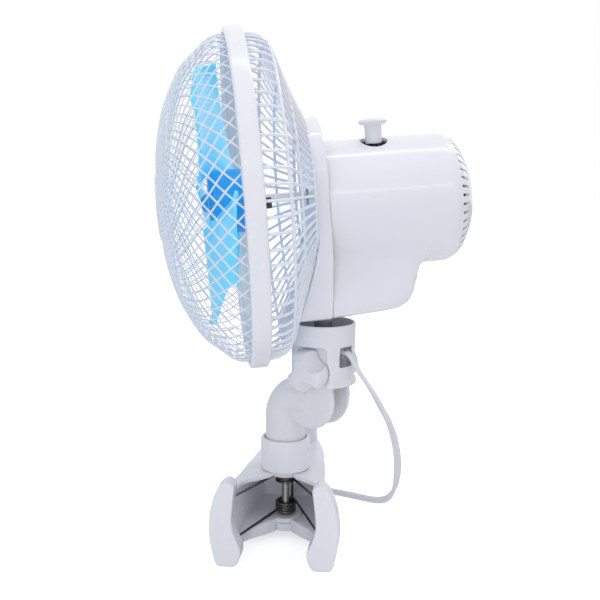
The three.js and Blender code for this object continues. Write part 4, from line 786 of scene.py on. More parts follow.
# Each hoop's share of the basket's radius, and its half width and half thickness
HOOPS = [(1, 0.9, 0.6), (0.935, 1.1, 0.75), (0.71, 0.9, 0.7), (0.51, 1, 0.8)]
OCTAGON = [(-1, -0.5), (-0.5, -1), (0.5, -1), (1, -0.5), (1, 0.5), (0.5, 1), (-0.5, 1), (-1, 0.5)]
CUP_SIDE_DEGREES, CUP_SIDE_RADIUS, CUP_SIDE_REACH, CUP_SIDE_PRESS = 26, 76, 12, 2.6


def guard_ring():
    """A ring with round outer corners, with a seam on either side."""
    half, inner, corner = RING_WIDTH / 2, RING_RADIUS - RING_WALL, RING_RADIUS - RING_ROUND
    outline = [(inner, RING_EDGE - half), (inner + RING_EDGE, -half), (corner, -half)]
    outline += arc((corner, RING_ROUND - half), RING_ROUND, -90, 0, 5)[1:]
    outline += arc((corner, half - RING_ROUND), RING_ROUND, 0, 90, 5)
    outline += [(inner + RING_EDGE, half), (inner, half - RING_EDGE)]
    ring = carried(turned(outline, 160, closed=True), ALONG_Y)
    seams = []
    for degrees in SEAM_DEGREES:
        seam = block((-SEAM_HALF, -SEAM_REACH, RING_RADIUS - SEAM_DEPTH),
                     (SEAM_HALF, SEAM_REACH, RING_RADIUS + SEAM_DEPTH))
        seam.data.transform(turn(90 - degrees, "Y"))
        seams.append(seam)
    return boolean(ring, seams)


def net():
    """Two families of fine strands that wind from the rim in to the badge, crossing in diamonds."""
    profile = smooth([(r * NET_RADIUS, a * NET_DEPTH, 0) for r, a in NET_SHARES], 4)
    run = lengths_along(profile)
    cell = 2 * math.pi / NET_STRANDS
    points, angle = [], 0
    for k, place in enumerate(profile):
        if k:
            angle += (run[k] - run[k - 1]) / (NET_CELL_SHARE * max(place.x, NET_CELL_LEAST))
        points.append((place.x, angle, -place.y))
    pieces = []
    for hand in (1, -1):
        strand = wire([(r * math.cos(hand * a), y, r * math.sin(hand * a)) for r, a, y in points],
                      NET_WIRE, 0)
        pieces.append(repeated(strand, [turn(math.degrees(cell * k), "Y") for k in range(NET_STRANDS)]))
    rim = turned([(NET_RADIUS + NET_RIM_HALF[0] * math.cos(a), NET_RIM + NET_RIM_HALF[1] * math.sin(a))
                  for a in (k * math.pi / 4 for k in range(8))], 144, closed=True)
    seat = turned([(BADGE_RADIUS + out, BADGE_BACK + up) for out, up in BADGE_SEAT], 64, closed=True)
    for piece in (rim, seat):
        piece.data.transform(UPRIGHT)
    return joined([*pieces, rim, seat])


def badge():
    """A plain round boss with a fine groove near its edge."""
    face = [(share * BADGE_RADIUS, BADGE_BACK + up) for share, up in BADGE_LINE]
    disc = turned([(POLE, BADGE_BACK + BADGE_THICK), *face, (POLE, BADGE_BACK)], 96)
    outer, low = BADGE_GROOVE + BADGE_GROOVE_WIDTH, BADGE_BACK + BADGE_GROOVE_HEIGHT
    high = BADGE_BACK + OVERRUN
    groove = [(BADGE_GROOVE, low), (outer, low), (outer, high), (BADGE_GROOVE, high)]
    boolean(disc, [turned(groove, 96, closed=True)])
    return carried(disc, UPRIGHT)


def basket_line():
    return smooth([(r * BASKET_RADIUS, a * BASKET_DEPTH, 0) for r, a in BASKET_SHARES], 3)


def basket():
    """Slender ribs from the ring back to the collar, on four hoops, pressed in over the cup."""
    profile = basket_line()
    ribs = repeated(wire(profile, RIB_RADIUS),
                    [turn((k + 0.5) * 360 / RIB_COUNT, "Y") for k in range(RIB_COUNT)])
    hoops = []
    for share, wide, thick in HOOPS:
        k = min(range(len(profile)), key=lambda n: abs(profile[n].x - share * BASKET_RADIUS))
        slope = (profile[min(k + 1, len(profile) - 1)] - profile[max(k - 1, 0)]).normalized()
        across = Vector((-slope.y, slope.x, 0))
        corners = [profile[k] + slope * (a * wide) + across * (b * thick) for a, b in OCTAGON]
        hoop = carried(turned([(corner.x, corner.y) for corner in corners], 144, closed=True), ALONG_Y)
        hoops.append(hoop)
    piece = joined([ribs, *hoops])
    for vertex in piece.data.vertices:
        x, y, z = vertex.co
        low = max(0, 1 - abs(math.degrees(math.atan2(x, -z))) / CUP_SIDE_DEGREES)
        near = max(0, 1 - abs(math.hypot(x, z) - CUP_SIDE_RADIUS) / CUP_SIDE_REACH)
        vertex.co.y -= CUP_SIDE_PRESS * math.sin(math.pi / 2 * low) * math.sin(math.pi / 2 * near)
    return piece


dress(guard_ring(), "clamp_ring", "head", guard_white, "guard_ring", place=HEAD)
dress(bevelled(block(CATCH_LOW, CATCH_HIGH), 0.4), "ring_catch", "head", dark_plastic, place=HEAD)
dress(net(), "diamond_net", "head", net_white, "front_grille", angle=60, place=HEAD)
dress(badge(), "front_badge", "head", guard_white, "grille_badge", place=HEAD)
dress(basket(), "rib_basket", "head", guard_white, "rear_grille", angle=50, place=HEAD)


# Impeller
HUB_RADIUS, HUB_FRONT, HUB_LENGTH, HUB_WALL, SHAFT_HOLE = 18, -20, 19, 1.8, 2.8
HUB_BOSS, HUB_BOSS_TAPER, HUB_BOSS_FRONT, HUB_BOSS_REAR, HUB_RIBS = 5, 0.2, -18.6, -3, 6
HUB_RIB_LOW, HUB_RIB_HIGH = (-0.7, 4, -17.8), (0.7, 17, -6)
# The hub's nose and the hollow behind it, as (share of its radius, depth behind its front)
HUB_NOSE = [(0.244, 0.8), (0.556, 0), (0.789, 0.1), (0.911, 0.8), (0.983, 2.4), (1, 4.4)]
HUB_HOLLOW = [(0.9, 4.8), (0.822, 2.6), (0.244, 2.4)]
BLADE_COUNT, BLADE_TIP, BLADE_FRONT, BLADE_REAR, BLADE_ROOT_SHARE = 3, 74.5, -23, -3, 0.86
BLADE_SPREAD, BLADE_LEAN, BLADE_FORWARD, BLADE_STEPS, BLADE_THICKNESS = 92, 14, 3, 14, 1.7
SWELL_START, SWELL_REACH, SWELL_POWER = 0.28, 0.62, 0.6
TIP_START, TIP_CUT, TIP_POWER, BLADE_UNTWIST, BLADE_BOW = 0.72, 0.72, 2.4, 0.35, 0.16
NUT_LINE = [(POLE, 24.3), (2.4, 24.1), (3.8, 23.5), (4.6, 22.4), (5.2, 21.2), (5.2, 20.3), (POLE, 20.3)]
NUT_GRIPS, NUT_GRIP_RADIUS, NUT_GRIP_REACH, NUT_GRIP_LOW, NUT_GRIP_TOP = 12, 0.5, 5.4, 20, 23.6


def blade_point(along, across):
    """A point of the blade's middle: broad, round-cornered, twisted and bowed."""
    root = BLADE_ROOT_SHARE * HUB_RADIUS
    radius = root + (BLADE_TIP - root) * along
    swell = math.sin(math.pi * (SWELL_START + SWELL_REACH * along)) ** SWELL_POWER
    tip = max(0, (along - TIP_START) / (1 - TIP_START)) * abs(2 * across - 1)
    corner = math.sqrt(max(0, 1 - TIP_CUT * tip ** TIP_POWER))
    angle = math.radians(BLADE_SPREAD * swell * corner * (across - 0.5) + BLADE_LEAN * along)
    pitch = 0.5 + (across - 0.5) * (1 - BLADE_UNTWIST * along) + BLADE_BOW * math.sin(math.pi * across)
    depth = BLADE_REAR + (BLADE_FRONT - BLADE_REAR) * pitch - BLADE_FORWARD * along * along
    return Vector((radius * math.sin(angle), depth, radius * math.cos(angle)))


def blades():
    shares = [k / BLADE_STEPS for k in range(BLADE_STEPS + 1)]
    rows = [[blade_point(along, across) for across in shares] for along in shares]
    draw(rows[0])
    for before, row in zip(rows, rows[1:]):
        drawn_out(before, row)
    outward()
    blade = walled(done(), BLADE_THICKNESS)
    bevelled(blade, 0.5, 2, 50)
    return repeated(blade, [turn(360 * k / BLADE_COUNT, "Y") for k in range(BLADE_COUNT)])


def hub():
    """A shell open at the back, with a boss for the shaft and ribs between the two."""
    def line(shares):
        return [(share * HUB_RADIUS, HUB_FRONT + depth) for share, depth in shares]

    rear = HUB_FRONT + HUB_LENGTH
    shell = turned([*line(HUB_NOSE), (HUB_RADIUS, rear), (HUB_RADIUS - HUB_WALL, rear), *line(HUB_HOLLOW)],
                   96, closed=True)
    boss = turned([(SHAFT_HOLE, HUB_BOSS_FRONT), (HUB_BOSS, HUB_BOSS_FRONT),
                   (HUB_BOSS - HUB_BOSS_TAPER, HUB_BOSS_REAR), (SHAFT_HOLE, HUB_BOSS_REAR)], 40, closed=True)
    ribs = repeated(block(HUB_RIB_LOW, HUB_RIB_HIGH),
                    [turn(360 * k / HUB_RIBS, "Z") for k in range(HUB_RIBS)])
    piece = joined([shell, boss, ribs])
    return carried(piece, ALONG_Y)


def spinner_nut():
    grips = []
    for k in range(NUT_GRIPS):
        angle = 2 * math.pi * k / NUT_GRIPS
        at = (NUT_GRIP_REACH * math.cos(angle), NUT_GRIP_REACH * math.sin(angle))
        grips.append(rod(NUT_GRIP_RADIUS, NUT_GRIP_LOW, NUT_GRIP_TOP, 12, at))
    nut = boolean(turned(NUT_LINE, 48), grips)
    return carried(nut, UPRIGHT)


dress(blades(), "fan_blades", "rotor", glowing_blade_blue, "impeller", angle=40, place=HEAD)
dress(hub(), "fan_hub", "rotor", glowing_hub_blue, "impeller", place=HEAD)
dress(spinner_nut(), "spinner_nut", "rotor", glowing_hub_blue, "impeller_nut", place=HEAD)


# Collar, motor housing and what shows on them
STEM_HOLE, STEM_TOP, SHAFT_GAP_HOLE = 9.4, 175, 6
VENT_COUNT, VENT_WIDTH, VENT_INNER, VENT_OUTER = 44, 1.5, 28.5, 34.9
SLOT_HALF_WIDTH, SLOT_HALF_HEIGHT, COLLAR_GAP = 9, 3.4, 1.4
HOUSING_SIDES, HOUSING_ROWS, BLEND, BLEND_FADE, SQUARENESS = 144, 30, 4, 0.2, 10
# The pull knob as (radius, drop below its top)
PULL_LINE = [(POLE, 0), (4.6, 0.15), (6.6, 0.5), (7.6, 1), (7.95, 1.5), (7.5, 2.5), (7, 3.2), (5.2, 3.3),
             (4.7, 3.8), (4.6, 13.4), (4.3, 13.8), (2.6, 13.8), (2.6, 0.8), (POLE, 0.8)]


def collar_outline(inset):
    half, foot, corner = COLLAR_WAIST - inset, COLLAR_FOOT - inset, COLLAR_CORNER - inset
    bottom = inset - COLLAR_DROP
    rise = COLLAR_RADIUS - inset - COLLAR_SHOULDER
    crown = [(half * x, COLLAR_SHOULDER + rise * z) for x, z in arc((0, 0), 1, 0, 180, 48)]
    feet = arc((corner - foot, bottom + corner), corner, 180, 270, 8)
    feet += arc((foot - corner, bottom + corner), corner, 270, 360, 8)
    return crown + [(-half, -COLLAR_WAIST_DROP)] + feet + [(half, -COLLAR_WAIST_DROP)]


def basket_room(offset):
    """All that lies in front of the basket's back, moved back by an offset."""
    profile, reach = basket_line(), RING_RADIUS + OVERRUN
    side = turned([(POLE, -OVERRUN), (reach, -OVERRUN), (reach, profile[0].y + offset)]
                  + [(point.x, point.y + offset) for point in profile]
                  + [(POLE, profile[-1].y + offset)], 120)
    return carried(side, ALONG_Y)


def collar():
    piece = bevelled(plate_y(collar_outline(0), 0, COLLAR_REAR), 0.9, 3)
    boolean(piece, [basket_room(COLLAR_GAP)])
    hollow = boolean(plate_y(collar_outline(COLLAR_WALL), 0, COLLAR_REAR + OVERRUN),
                     [basket_room(COLLAR_GAP + COLLAR_WALL)])
    shaft = carried(rod(SHAFT_GAP_HOLE, 0, COLLAR_REAR + OVERRUN), ALONG_Y)
    return boolean(piece, [hollow, sweep_rod(STEM_HOLE, 0, STEM_TOP), shaft])


def between(pairs, place):
    """The value at a place, straight between the pairs."""
    for (a, first), (b, second) in zip(pairs, pairs[1:]):
        if place <= b:
            return first + (second - first) * max(0, (place - a) / (b - a))
    return pairs[-1][1]


BULGE_LINE = [(point.x, point.y) for point in smooth([(*pair, 0) for pair in BULGE_SHARES], 4)]


def housing_row(place, barrel, inset):
    """One round of the housing: the barrel, run smoothly into the gearbox bulge below it."""
    reach = BULGE_LENGTH - inset
    down = between(BULGE_LINE, (place - BARREL_START) / reach) * BULGE_DROP - inset - BARREL_DROP
    row = []
    for k in range(HOUSING_SIDES):
        angle = 2 * math.pi * k / HOUSING_SIDES
        across, drop = math.cos(angle), -math.sin(angle)
        radius = barrel
        if drop > 0 and place < BARREL_START + reach:
            flat = (abs(across) / (BULGE_HALF - inset)) ** SQUARENESS + (drop / down) ** SQUARENESS
            bulge = flat ** (-1 / SQUARENESS)
            near = max(0, BLEND - abs(bulge - barrel)) / BLEND
            fade = min(1, (1 - (place - BARREL_START) / reach) / BLEND_FADE)
            radius = max(bulge, barrel) + fade * BLEND * near * near / 4
        row.append(Vector((radius * across, place, -BARREL_DROP - radius * drop)))
    return row


def housing_body(inset):
    start, end = BARREL_START - (OVERRUN if inset else 0), BARREL_START + BULGE_LENGTH
    places = [start + (end - start) * k / HOUSING_ROWS for k in range(HOUSING_ROWS + 1)]
    rows = [housing_row(place, BARREL_RADIUS - inset, inset) for place in places]
    rear = [(share * (BARREL_RADIUS - inset), BARREL_REAR - inset - BARREL_ROUND * (1 - along), 0)
            for share, along in REAR_SHARES]
    rows += [housing_row(point.y, point.x, inset) for point in smooth(rear, 3)]
    return lofted(rows)


def housing():
    """The shell, with a ring of vents and the switch's slot in its rear."""
    inside, outside = BARREL_REAR - BARREL_ROUND, BARREL_REAR + OVERRUN
    vent = block((-VENT_WIDTH / 2, inside, VENT_INNER), (VENT_WIDTH / 2, outside, VENT_OUTER))
    bevelled(vent, 0.5, 2)
    centre = Matrix.Translation((0, 0, -BARREL_DROP))
    vents = repeated(vent, [centre @ turn(360 * (k + 0.5) / VENT_COUNT, "Y") for k in range(VENT_COUNT)])
    slot = block((-SLOT_HALF_WIDTH, inside, -BARREL_DROP - SLOT_HALF_HEIGHT),
                 (SLOT_HALF_WIDTH, outside, SLOT_HALF_HEIGHT - BARREL_DROP))
    knob_hole = rod(PULL_HOLE, 0, BARREL_RADIUS + OVERRUN, 48, (PULL_SIDE, PULL_BACK))
    stem_hole = sweep_rod(STEM_HOLE, 0, STEM_TOP)
    return boolean(housing_body(0), [housing_body(HOUSING_WALL), stem_hole, knob_hole, slot, vents])


def pull_knob():
    knob = turned([(radius, PULL_TOP - drop) for radius, drop in PULL_LINE], 64)
    return moved(knob, Matrix.Translation((PULL_SIDE, PULL_BACK, 0)))


dress(collar(), "moulded_collar", "head", housing_white, "front_collar", place=HEAD)
dress(housing(), "motor_shell", "head", housing_white, "motor_housing", angle=30, place=HEAD)
dress(pull_knob(), "pull_knob", "puller", arm_white, "sweep_knob", place=HEAD)


# Cup and tilt knob
CUP_BOTTOM, CUP_FLOOR, CUP_FLOOR_TOP = TILT_DROP - CUP_HEIGHT, 15.2, 17.6
CLAMP_IN, CLAMP_OUT, NOTCH, BOSS_RADIUS, BOSS_REACH, BOLT = 9.8, 11.4, 13.6, 11, 21, 2.4
WINDOW_HALF, WINDOW_NEAR, WINDOW_TOP, WINDOW_LOW, SCREW_HEAD = 4, 7, 14.4, 2.8, 4.4
LEAD_HOLE_NEAR, LEAD_HOLE_FAR, ARM_ROOM, SCREW_SINK = 6.8, 15, 6, 2.9
NOTCH_SHARES, NOTCH_FOOT_SHARE, NOTCH_LOW, NOTCH_ROUND = (-0.95, 0.93), 0.97, -3, 2.5
# The cup's foot as (past its wall, above its bottom)
CUP_BEAD = [(-0.7, 4.2), (-0.4, 3.6), (0.4, 3), (0.6, 1.9), (0.4, 0.7), (-0.5, 0), (-1, 0), (-1.3, 4.2)]
CUP_EDGE, CUP_BEAD_FADE = 0.7, 2
LEAD_GRIP_LOW, LEAD_GRIP_HIGH = (-3.7, 8, 8.6), (3.7, 12.5, 14.9)
KNOB_RADIUS, KNOB_LENGTH, KNOB_START, KNOB_BORE, KNOB_BORE_DEPTH = 13, 10.6, 11.9, 2.4, 6.2
# The tilt knob's side as (share of its radius, height)
KNOB_SIDE = [(0.955, 0), (1, 0.8), (1, 3.2), (0.985, 5.4), (0.93, 7.6), (0.81, 9.3), (0.56, 10.35)]
SCOOP_RADIUS, SCOOP_REACH, SCOOP_LEAN, SCOOP_DEGREES = 8.5, 19.6, 27, (-75, 45, 165)


def cup_shell():
    """The cup's wall, with a round top edge and a bead round its foot."""
    inner = CUP_RADIUS - CUP_WALL
    outline = arc((CUP_RADIUS - CUP_EDGE, TILT_DROP - CUP_EDGE), CUP_EDGE, 90, 0, 2)
    outline += [(CUP_RADIUS + out, CUP_BOTTOM + up) for out, up in CUP_BEAD]
    return turned([*outline, (inner, CUP_BEAD_FADE), (inner, TILT_DROP - CUP_EDGE / 4)], 120, closed=True)


def cup():
    """The wall, a floor, two cheeks and a boss for the bolt, cut for the knob, the lead and the arm."""
    inner, out, deep = CUP_LIP_RADIUS - CUP_WALL / 2, CUP_RADIUS + OVERRUN, CUP_BOTTOM - OVERRUN
    parts = [rod(inner, CUP_FLOOR, CUP_FLOOR_TOP, 96)]
    for low, high in ((CLAMP_IN, CLAMP_OUT), (-CLAMP_OUT, -CLAMP_IN)):
        cheek = block((low, -out, CUP_BOTTOM), (high, out, CUP_FLOOR + CUP_WALL / 2))
        parts.append(boolean(rod(inner, CUP_BOTTOM, CUP_FLOOR_TOP, 96), [cheek], "INTERSECT"))
    parts.append(bevelled(rod_x(BOSS_RADIUS, -BOSS_REACH, -CLAMP_OUT + CUP_WALL / 2, 64), 0.8))
    piece = boolean(cup_shell(), parts, "UNION")
    notch_near, notch_far = (share * NOTCH for share in NOTCH_SHARES)
    notch_foot = NOTCH_FOOT_SHARE * NOTCH
    notch_room = block((CLAMP_OUT, notch_near, NOTCH_LOW), (out, notch_far, CUP_FLOOR - GAP))
    boolean(piece, [
        rod_x(NOTCH, CLAMP_OUT, out, 72),
        bevelled(notch_room, NOTCH_ROUND, 5),
        block((CLAMP_OUT, -notch_foot, deep), (out, notch_foot, 0)),
        block((-WINDOW_HALF, CUP_LIP_RADIUS / 2, WINDOW_LOW), (WINDOW_NEAR, out, WINDOW_TOP)),
        block((-WINDOW_HALF, LEAD_HOLE_NEAR, WINDOW_TOP), (WINDOW_HALF, LEAD_HOLE_FAR, CUP_FLOOR_TOP + 1)),
        block((-CLAMP_IN, -out, deep), (CLAMP_IN, -ARM_ROOM, CUP_FLOOR - WINDOW_HALF)),
        rod_x(BOLT, -out, out, 32), rod_x(SCREW_HEAD, -out, SCREW_SINK - BOSS_REACH, 32)])
    return melted(piece, 0.42, 3)


def tilt_knob():
    """A domed knob with three scoops that go deeper towards its face."""
    side = [(share * KNOB_RADIUS, height) for share, height in KNOB_SIDE]
    dome = turned([(POLE, 0), *side, (POLE, KNOB_LENGTH)], 96)
    scoops = []
    for degrees in SCOOP_DEGREES:
        scoop = rod(SCOOP_RADIUS, -2 * OVERRUN, 4 * OVERRUN, 64)
        place = Matrix.Translation((SCOOP_REACH, 0, 0)) @ turn(-SCOOP_LEAN, "Y")
        scoop.data.transform(turn(degrees, "Z") @ place)
        scoops.append(scoop)
    boolean(dome, [*scoops, rod(KNOB_BORE, -1, KNOB_BORE_DEPTH, 32)])
    dome.data.transform(Matrix.Translation((KNOB_START, 0, 0)) @ TO_X)
    return melted(dome, 0.3, 3)


dress(cup(), "cup_moulding", "yoke", arm_white, "yoke_cup", angle=180, place=CUP)
dress(bevelled(block(LEAD_GRIP_LOW, LEAD_GRIP_HIGH), 0.5), "lead_grip", "yoke", arm_white, "cord_clamp",
      place=CUP)
dress(tilt_knob(), "fluted_knob", "knob", arm_white, "tilt_knob", angle=60, place=CUP)


# Swan-neck arm
NECK_RADIUS, NECK_BEND, BEND_HEIGHT, NECK_LOW, NECK_STRAIGHT = 12.25, 15, 76, 46.4, 60
AXLE_BORE, AXLE_BORE_TOP = 6, 52.4
FORK_RADIUS, FORK_HALF, FORK_BACK, FORK_HEIGHT, CHEEK_RADIUS, ROOM_HALF = 18.5, 9.5, 5, 92.3, 12, 6.5
CHEEK_FEET = [(-16.1, FORK_HEIGHT), (13.5, FORK_HEIGHT)]
FORK_ROOM = [(-FORK_BACK, 135), (37, 135), (37, 66), (0, 66), (-2.5, 81.2), (-FORK_BACK, FORK_HEIGHT)]


def swan_arm():
    """The bent post, a round head with two cheeks for the bolt, and the room between them."""
    path = [(0, -NECK_BACK, NECK_LOW), (0, -NECK_BACK, NECK_STRAIGHT)]
    path += [(0, y, z) for y, z in arc((-NECK_BACK + NECK_BEND, BEND_HEIGHT), NECK_BEND, 180, 90, 16)]
    path.append((0, -FORK_BACK, BEND_HEIGHT + NECK_BEND))
    disc = bevelled(rod_x(FORK_RADIUS, -FORK_HALF, FORK_HALF, 96, (-FORK_BACK, FORK_HEIGHT)), 2, 5)
    cheeks = bevelled(plate_x([*arc((0, TILT_HEIGHT), CHEEK_RADIUS, 0, 180, 32), *CHEEK_FEET],
                              -FORK_HALF, FORK_HALF), 0.8, 3)
    piece = boolean(wire(path, NECK_RADIUS, 12), [disc, cheeks], "UNION")
    boolean(piece, [plate_x(FORK_ROOM, -ROOM_HALF, ROOM_HALF),
                    rod_x(BOLT, -FORK_RADIUS, FORK_RADIUS, 32, (0, TILT_HEIGHT)),
                    rod(AXLE_BORE, 0, AXLE_BORE_TOP, 32, (0, -NECK_BACK))])
    return melted(piece, 0.42, 4)


dress(swan_arm(), "swan_neck", "arm", arm_white, "swivel_arm", angle=180, place=ARM)


# Clip: two channel arms, their pads, the socket, the axle and two springs
EAR_HEIGHT, EAR_REACH, EAR_SPREAD, EAR_LENGTH, JAW_REACH = 51, 53, 33.5, 12, 55
PLATE_TOP, PLATE_THICK, PLATE_LOW, PLATE_SAG, ARM_WALL, SKIRT_LOW, SKIRT_SAG = 43, 3, 9.5, 7, 2.6, 4.5, 3.4
DISC_RADIUS, LUG_RADIUS, LUG_THICK, AXLE_RADIUS, PAD_THICK, PAD_LENGTH = 13, 10, 2, 2.3, 2.4, 19
LUG_GAP, POST_RADIUS, POST_TOP, POST_PLACE = 0.4, 4.4, 56, (5 - JAW_REACH, 10)
PAD_MARGIN, GROOVE_DEPTH, GROOVE_WIDTH, GROOVE_HEIGHTS = 3, 0.35, 1.2, range(7, 36, 4)
SPRING_WIRE, SPRING_RADIUS, SPRING_PITCH, SPRING_STEPS = 1.5, 5.7, 1.62, 28
# Each spring's turns, first turn's height, way of climbing and the heights of its two ends
SPRINGS = {"upper": (2, 37.4, -1, (38.2, 38.2)), "lower": (4, 13.9, 1, (12.2, 17.8))}
AXLE_FOOT, AXLE_TOP, AXLE_HEAD, AXLE_HEAD_FOOT, AXLE_HEAD_TOP = 4, 49.6, 4.4, 3.3, 4.2
CHANNEL_SHARE, LUG_HALF_SHARE, LUG_REACH_SHARE, SPRING_SEAT_SHARE = 0.55, 0.8, 0.62, 0.725
# The socket as (radius, height)
SOCKET_LINE = [(14.9, 43.3), (15.3, 43.8), (15.2, 61), (15, 62.1), (14.4, 62.8), (13.8, 63), (13.2, 62.7),
               (12.9, 62), (12.9, 46.3), (2.6, 46.3), (2.6, 43.3)]
# The plate's two faces and the ear, as shares of the arm's reach, spread and height
PLATE_OUTER = [(-1, 0.45), (-0.64, 0.6), (-0.1, 0.716), (0.4, 0.8), (0.8, 0.925)]
PLATE_INNER = [(0.8, 0.7), (0.51, 0.64), (0.2, 0.15), (-0.1, 0.02), (-0.62, 0.02)]
EAR_OUTLINE = [(0.66, 0.94), (0.78, 1), (0.92, 0.95), (1.05, 0.76), (1.12, 0.45), (1.07, 0.18), (0.97, 0),
               (0.7, 0), (0.6, 0.08), (0.57, 0.2), (0.66, 0.34), (0.72, 0.5), (0.7, 0.72)]


def clip_line(shares, side):
    line = [(along * (EAR_REACH if along > 0 else JAW_REACH), side * out * EAR_SPREAD, 0)
            for along, out in shares]
    return [(point.x, point.y) for point in smooth(line, 4)]


def clip_plates(side):
    """The channel: a jaw, a plate swept out to the ear, and the room between its skirts."""
    outer, inner = clip_line(PLATE_OUTER, side), clip_line(PLATE_INNER, side)
    face = side * (PAD_THICK + 1.5 * GAP)
    jaw_end = -JAW_REACH + PAD_LENGTH + GAP
    arm = slab(outer + inner + [(jaw_end, face), (-JAW_REACH, face)], 0, PLATE_TOP)
    back, ear_back, wide = -CHANNEL_SHARE * JAW_REACH, EAR_REACH - EAR_LENGTH, 2 * EAR_SPREAD
    floor, ceiling = PLATE_LOW + PLATE_THICK, PLATE_TOP - PLATE_THICK
    under = plate_y([(back, -OVERRUN), (back, SKIRT_LOW), (DISC_RADIUS, SKIRT_LOW), (ear_back, SKIRT_SAG),
                     (ear_back, -OVERRUN)], -wide, wide)
    room = plate_y([(back, floor), (DISC_RADIUS, floor), (EAR_REACH, PLATE_SAG), (EAR_REACH, ceiling),
                    (back, ceiling)], -wide, wide)
    walls = [(x, y - side * ARM_WALL) for x, y in outer if x > back - OVERRUN]
    far = -side * EAR_SPREAD
    boolean(room, [slab(walls + [(EAR_REACH, far), (walls[0][0], far)], 0, PLATE_TOP)], "INTERSECT")
    return boolean(arm, [under, room])


def left_lugs(arm):
    """The left arm's disc and lug round the axle, once room is cut for the right arm's."""
    boolean(arm, [rod(DISC_RADIUS + LUG_GAP, PLATE_LOW + PLATE_THICK, PLATE_TOP - LUG_THICK, 72),
                  rod(LUG_RADIUS + LUG_GAP, 0, PLATE_LOW, 64)])
    return [rod(DISC_RADIUS, PLATE_TOP - LUG_THICK, PLATE_TOP, 72),
            rod(LUG_RADIUS, PLATE_LOW, PLATE_LOW + PLATE_THICK, 64)]


def right_lugs(arm):
    """The right arm's two lugs, once room is cut for the left arm's, and the post on its jaw."""
    top, low = PLATE_TOP - LUG_THICK - GAP, PLATE_LOW - GAP
    boolean(arm, [rod(DISC_RADIUS + LUG_GAP, top - OVERRUN, PLATE_TOP + OVERRUN, 72),
                  rod(LUG_RADIUS + LUG_GAP, 0, PLATE_TOP, 64)])
    half, reach = LUG_HALF_SHARE * LUG_RADIUS, LUG_REACH_SHARE * EAR_SPREAD
    return [rod(LUG_RADIUS, top - LUG_THICK, top, 64),
            block((-half, 0, top - LUG_THICK), (half, reach, top)),
            rod(LUG_RADIUS, SKIRT_LOW, low, 64),
            block((-half, 0, low - PLATE_THICK), (half, reach, low)),
            block((-half, LUG_RADIUS + LUG_GAP + GAP, low - PLATE_THICK), (half, reach, PLATE_LOW + GAP)),
            bevelled(rod(POST_RADIUS, PLATE_TOP - PLATE_THICK, POST_TOP, 48, POST_PLACE), 0.8)]


def clip_arm(side):
    arm = clip_plates(side)
    parts = left_lugs(arm) if side < 0 else right_lugs(arm)
    ear = bevelled(plate_x(clip_ear(side), EAR_REACH - EAR_LENGTH, EAR_REACH), 1.1, 4, 40)
    boolean(arm, [*parts, ear], "UNION")
    boolean(arm, [rod(AXLE_RADIUS + GAP, 0, PLATE_TOP + OVERRUN, 32)])
    return melted(arm, 0.55, 3)


def clip_ear(side):
    line = [(side * out * EAR_SPREAD, up * EAR_HEIGHT, 0) for out, up in EAR_OUTLINE]
    return [(point.x, max(0, point.y)) for point in smooth(line + line[:1], 4)[:-1]]


def pad(side):
    low, high = sorted((side * GAP / 2, side * (PAD_THICK + GAP / 2)))
    piece = block((-JAW_REACH, low, PAD_MARGIN), (-JAW_REACH + PAD_LENGTH, high, PLATE_TOP - PAD_MARGIN))
    face = side * GAP / 2
    grooves = [block((-JAW_REACH - OVERRUN, face - GROOVE_DEPTH, z),
                     (-JAW_REACH + PAD_LENGTH + OVERRUN, face + GROOVE_DEPTH, z + GROOVE_WIDTH))
               for z in GROOVE_HEIGHTS]
    return bevelled(boolean(piece, grooves), 0.15, 1)


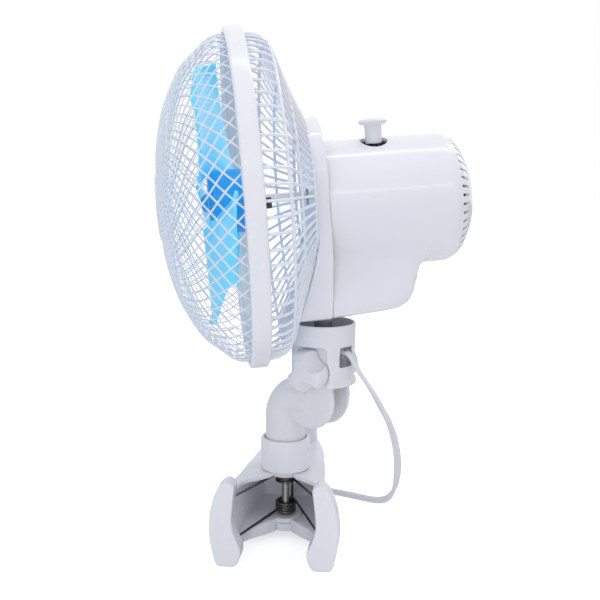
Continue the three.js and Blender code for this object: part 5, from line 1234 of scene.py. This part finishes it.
def spring(turns, start, climb, ends):
    """A torsion spring: a leg from one ear, the coil round the axle, a leg to the other ear."""
    leg = Vector((EAR_REACH - EAR_LENGTH - GAP - SPRING_WIRE / 2, SPRING_SEAT_SHARE * EAR_SPREAD))
    bearing = math.atan2(leg.y, leg.x) + math.acos(SPRING_RADIUS / leg.length)
    sweep = 2 * math.pi * (turns + 1) - 2 * bearing
    rise = climb * SPRING_PITCH * sweep / (2 * math.pi)
    steps = math.ceil(SPRING_STEPS * sweep / (2 * math.pi))
    coil = [(SPRING_RADIUS * math.cos(bearing + sweep * k / steps),
             -SPRING_RADIUS * math.sin(bearing + sweep * k / steps), start + rise * k / steps)
            for k in range(steps + 1)]
    return wire([(leg.x, -leg.y, ends[0]), *coil, (leg.x, leg.y, ends[1])], SPRING_WIRE / 2, 3)


def axle():
    head = rod(AXLE_HEAD, AXLE_HEAD_FOOT, AXLE_HEAD_TOP, 40)
    return bevelled(boolean(rod(AXLE_RADIUS, AXLE_FOOT, AXLE_TOP, 40), [head], "UNION"), 0.4, 2)


for side, name, body in ((-1, "left", "base"), (1, "right", "jaw")):
    dress(clip_arm(side), f"{name}_channel", body, clip_white, f"clip_arm_{name}", angle=180, place=CLIP)
    dress(pad(side), f"{name}_pad", body, pad_rubber, f"jaw_pad_{name}", place=CLIP)
socket = turned(SOCKET_LINE, 96, closed=True)
dress(socket, "neck_socket", "base", clip_white, "swivel_socket", place=CLIP)
dress(axle(), "hinge_rivet", "base", screw_zinc, "clip_axle", place=CLIP)
for name, values in SPRINGS.items():
    dress(spring(*values), f"{name}_spring", "base", spring_nickel, f"spring_{name}", angle=60, place=CLIP)


# The CAD nodes that are kept as they are
KEPT = {
    dark_plastic: ["gearbox_case", "speed_switch"],
    housing_white: ["speed_slider"],
    wheel_nylon: ["worm_wheel"],
    spindle_steel: ["crank_spindle"],
    cast_zinc: ["pivot_bracket", "sweep_stem"],
    screw_zinc: ["sweep_link", "tilt_bolt", "axle_nut", "ring_screw"],
    shaft_steel: ["motor_shaft"],
    bush_brass: ["front_bush", "rear_bush"],
    winding_copper: ["winding_front", "winding_rear"],
}
finishes = {name: material for material, names in KEPT.items() for name in names}
for name, node in nodes.items():
    node.data.materials.clear()
    node.data.materials.append(finishes.get(name, lamination_iron))
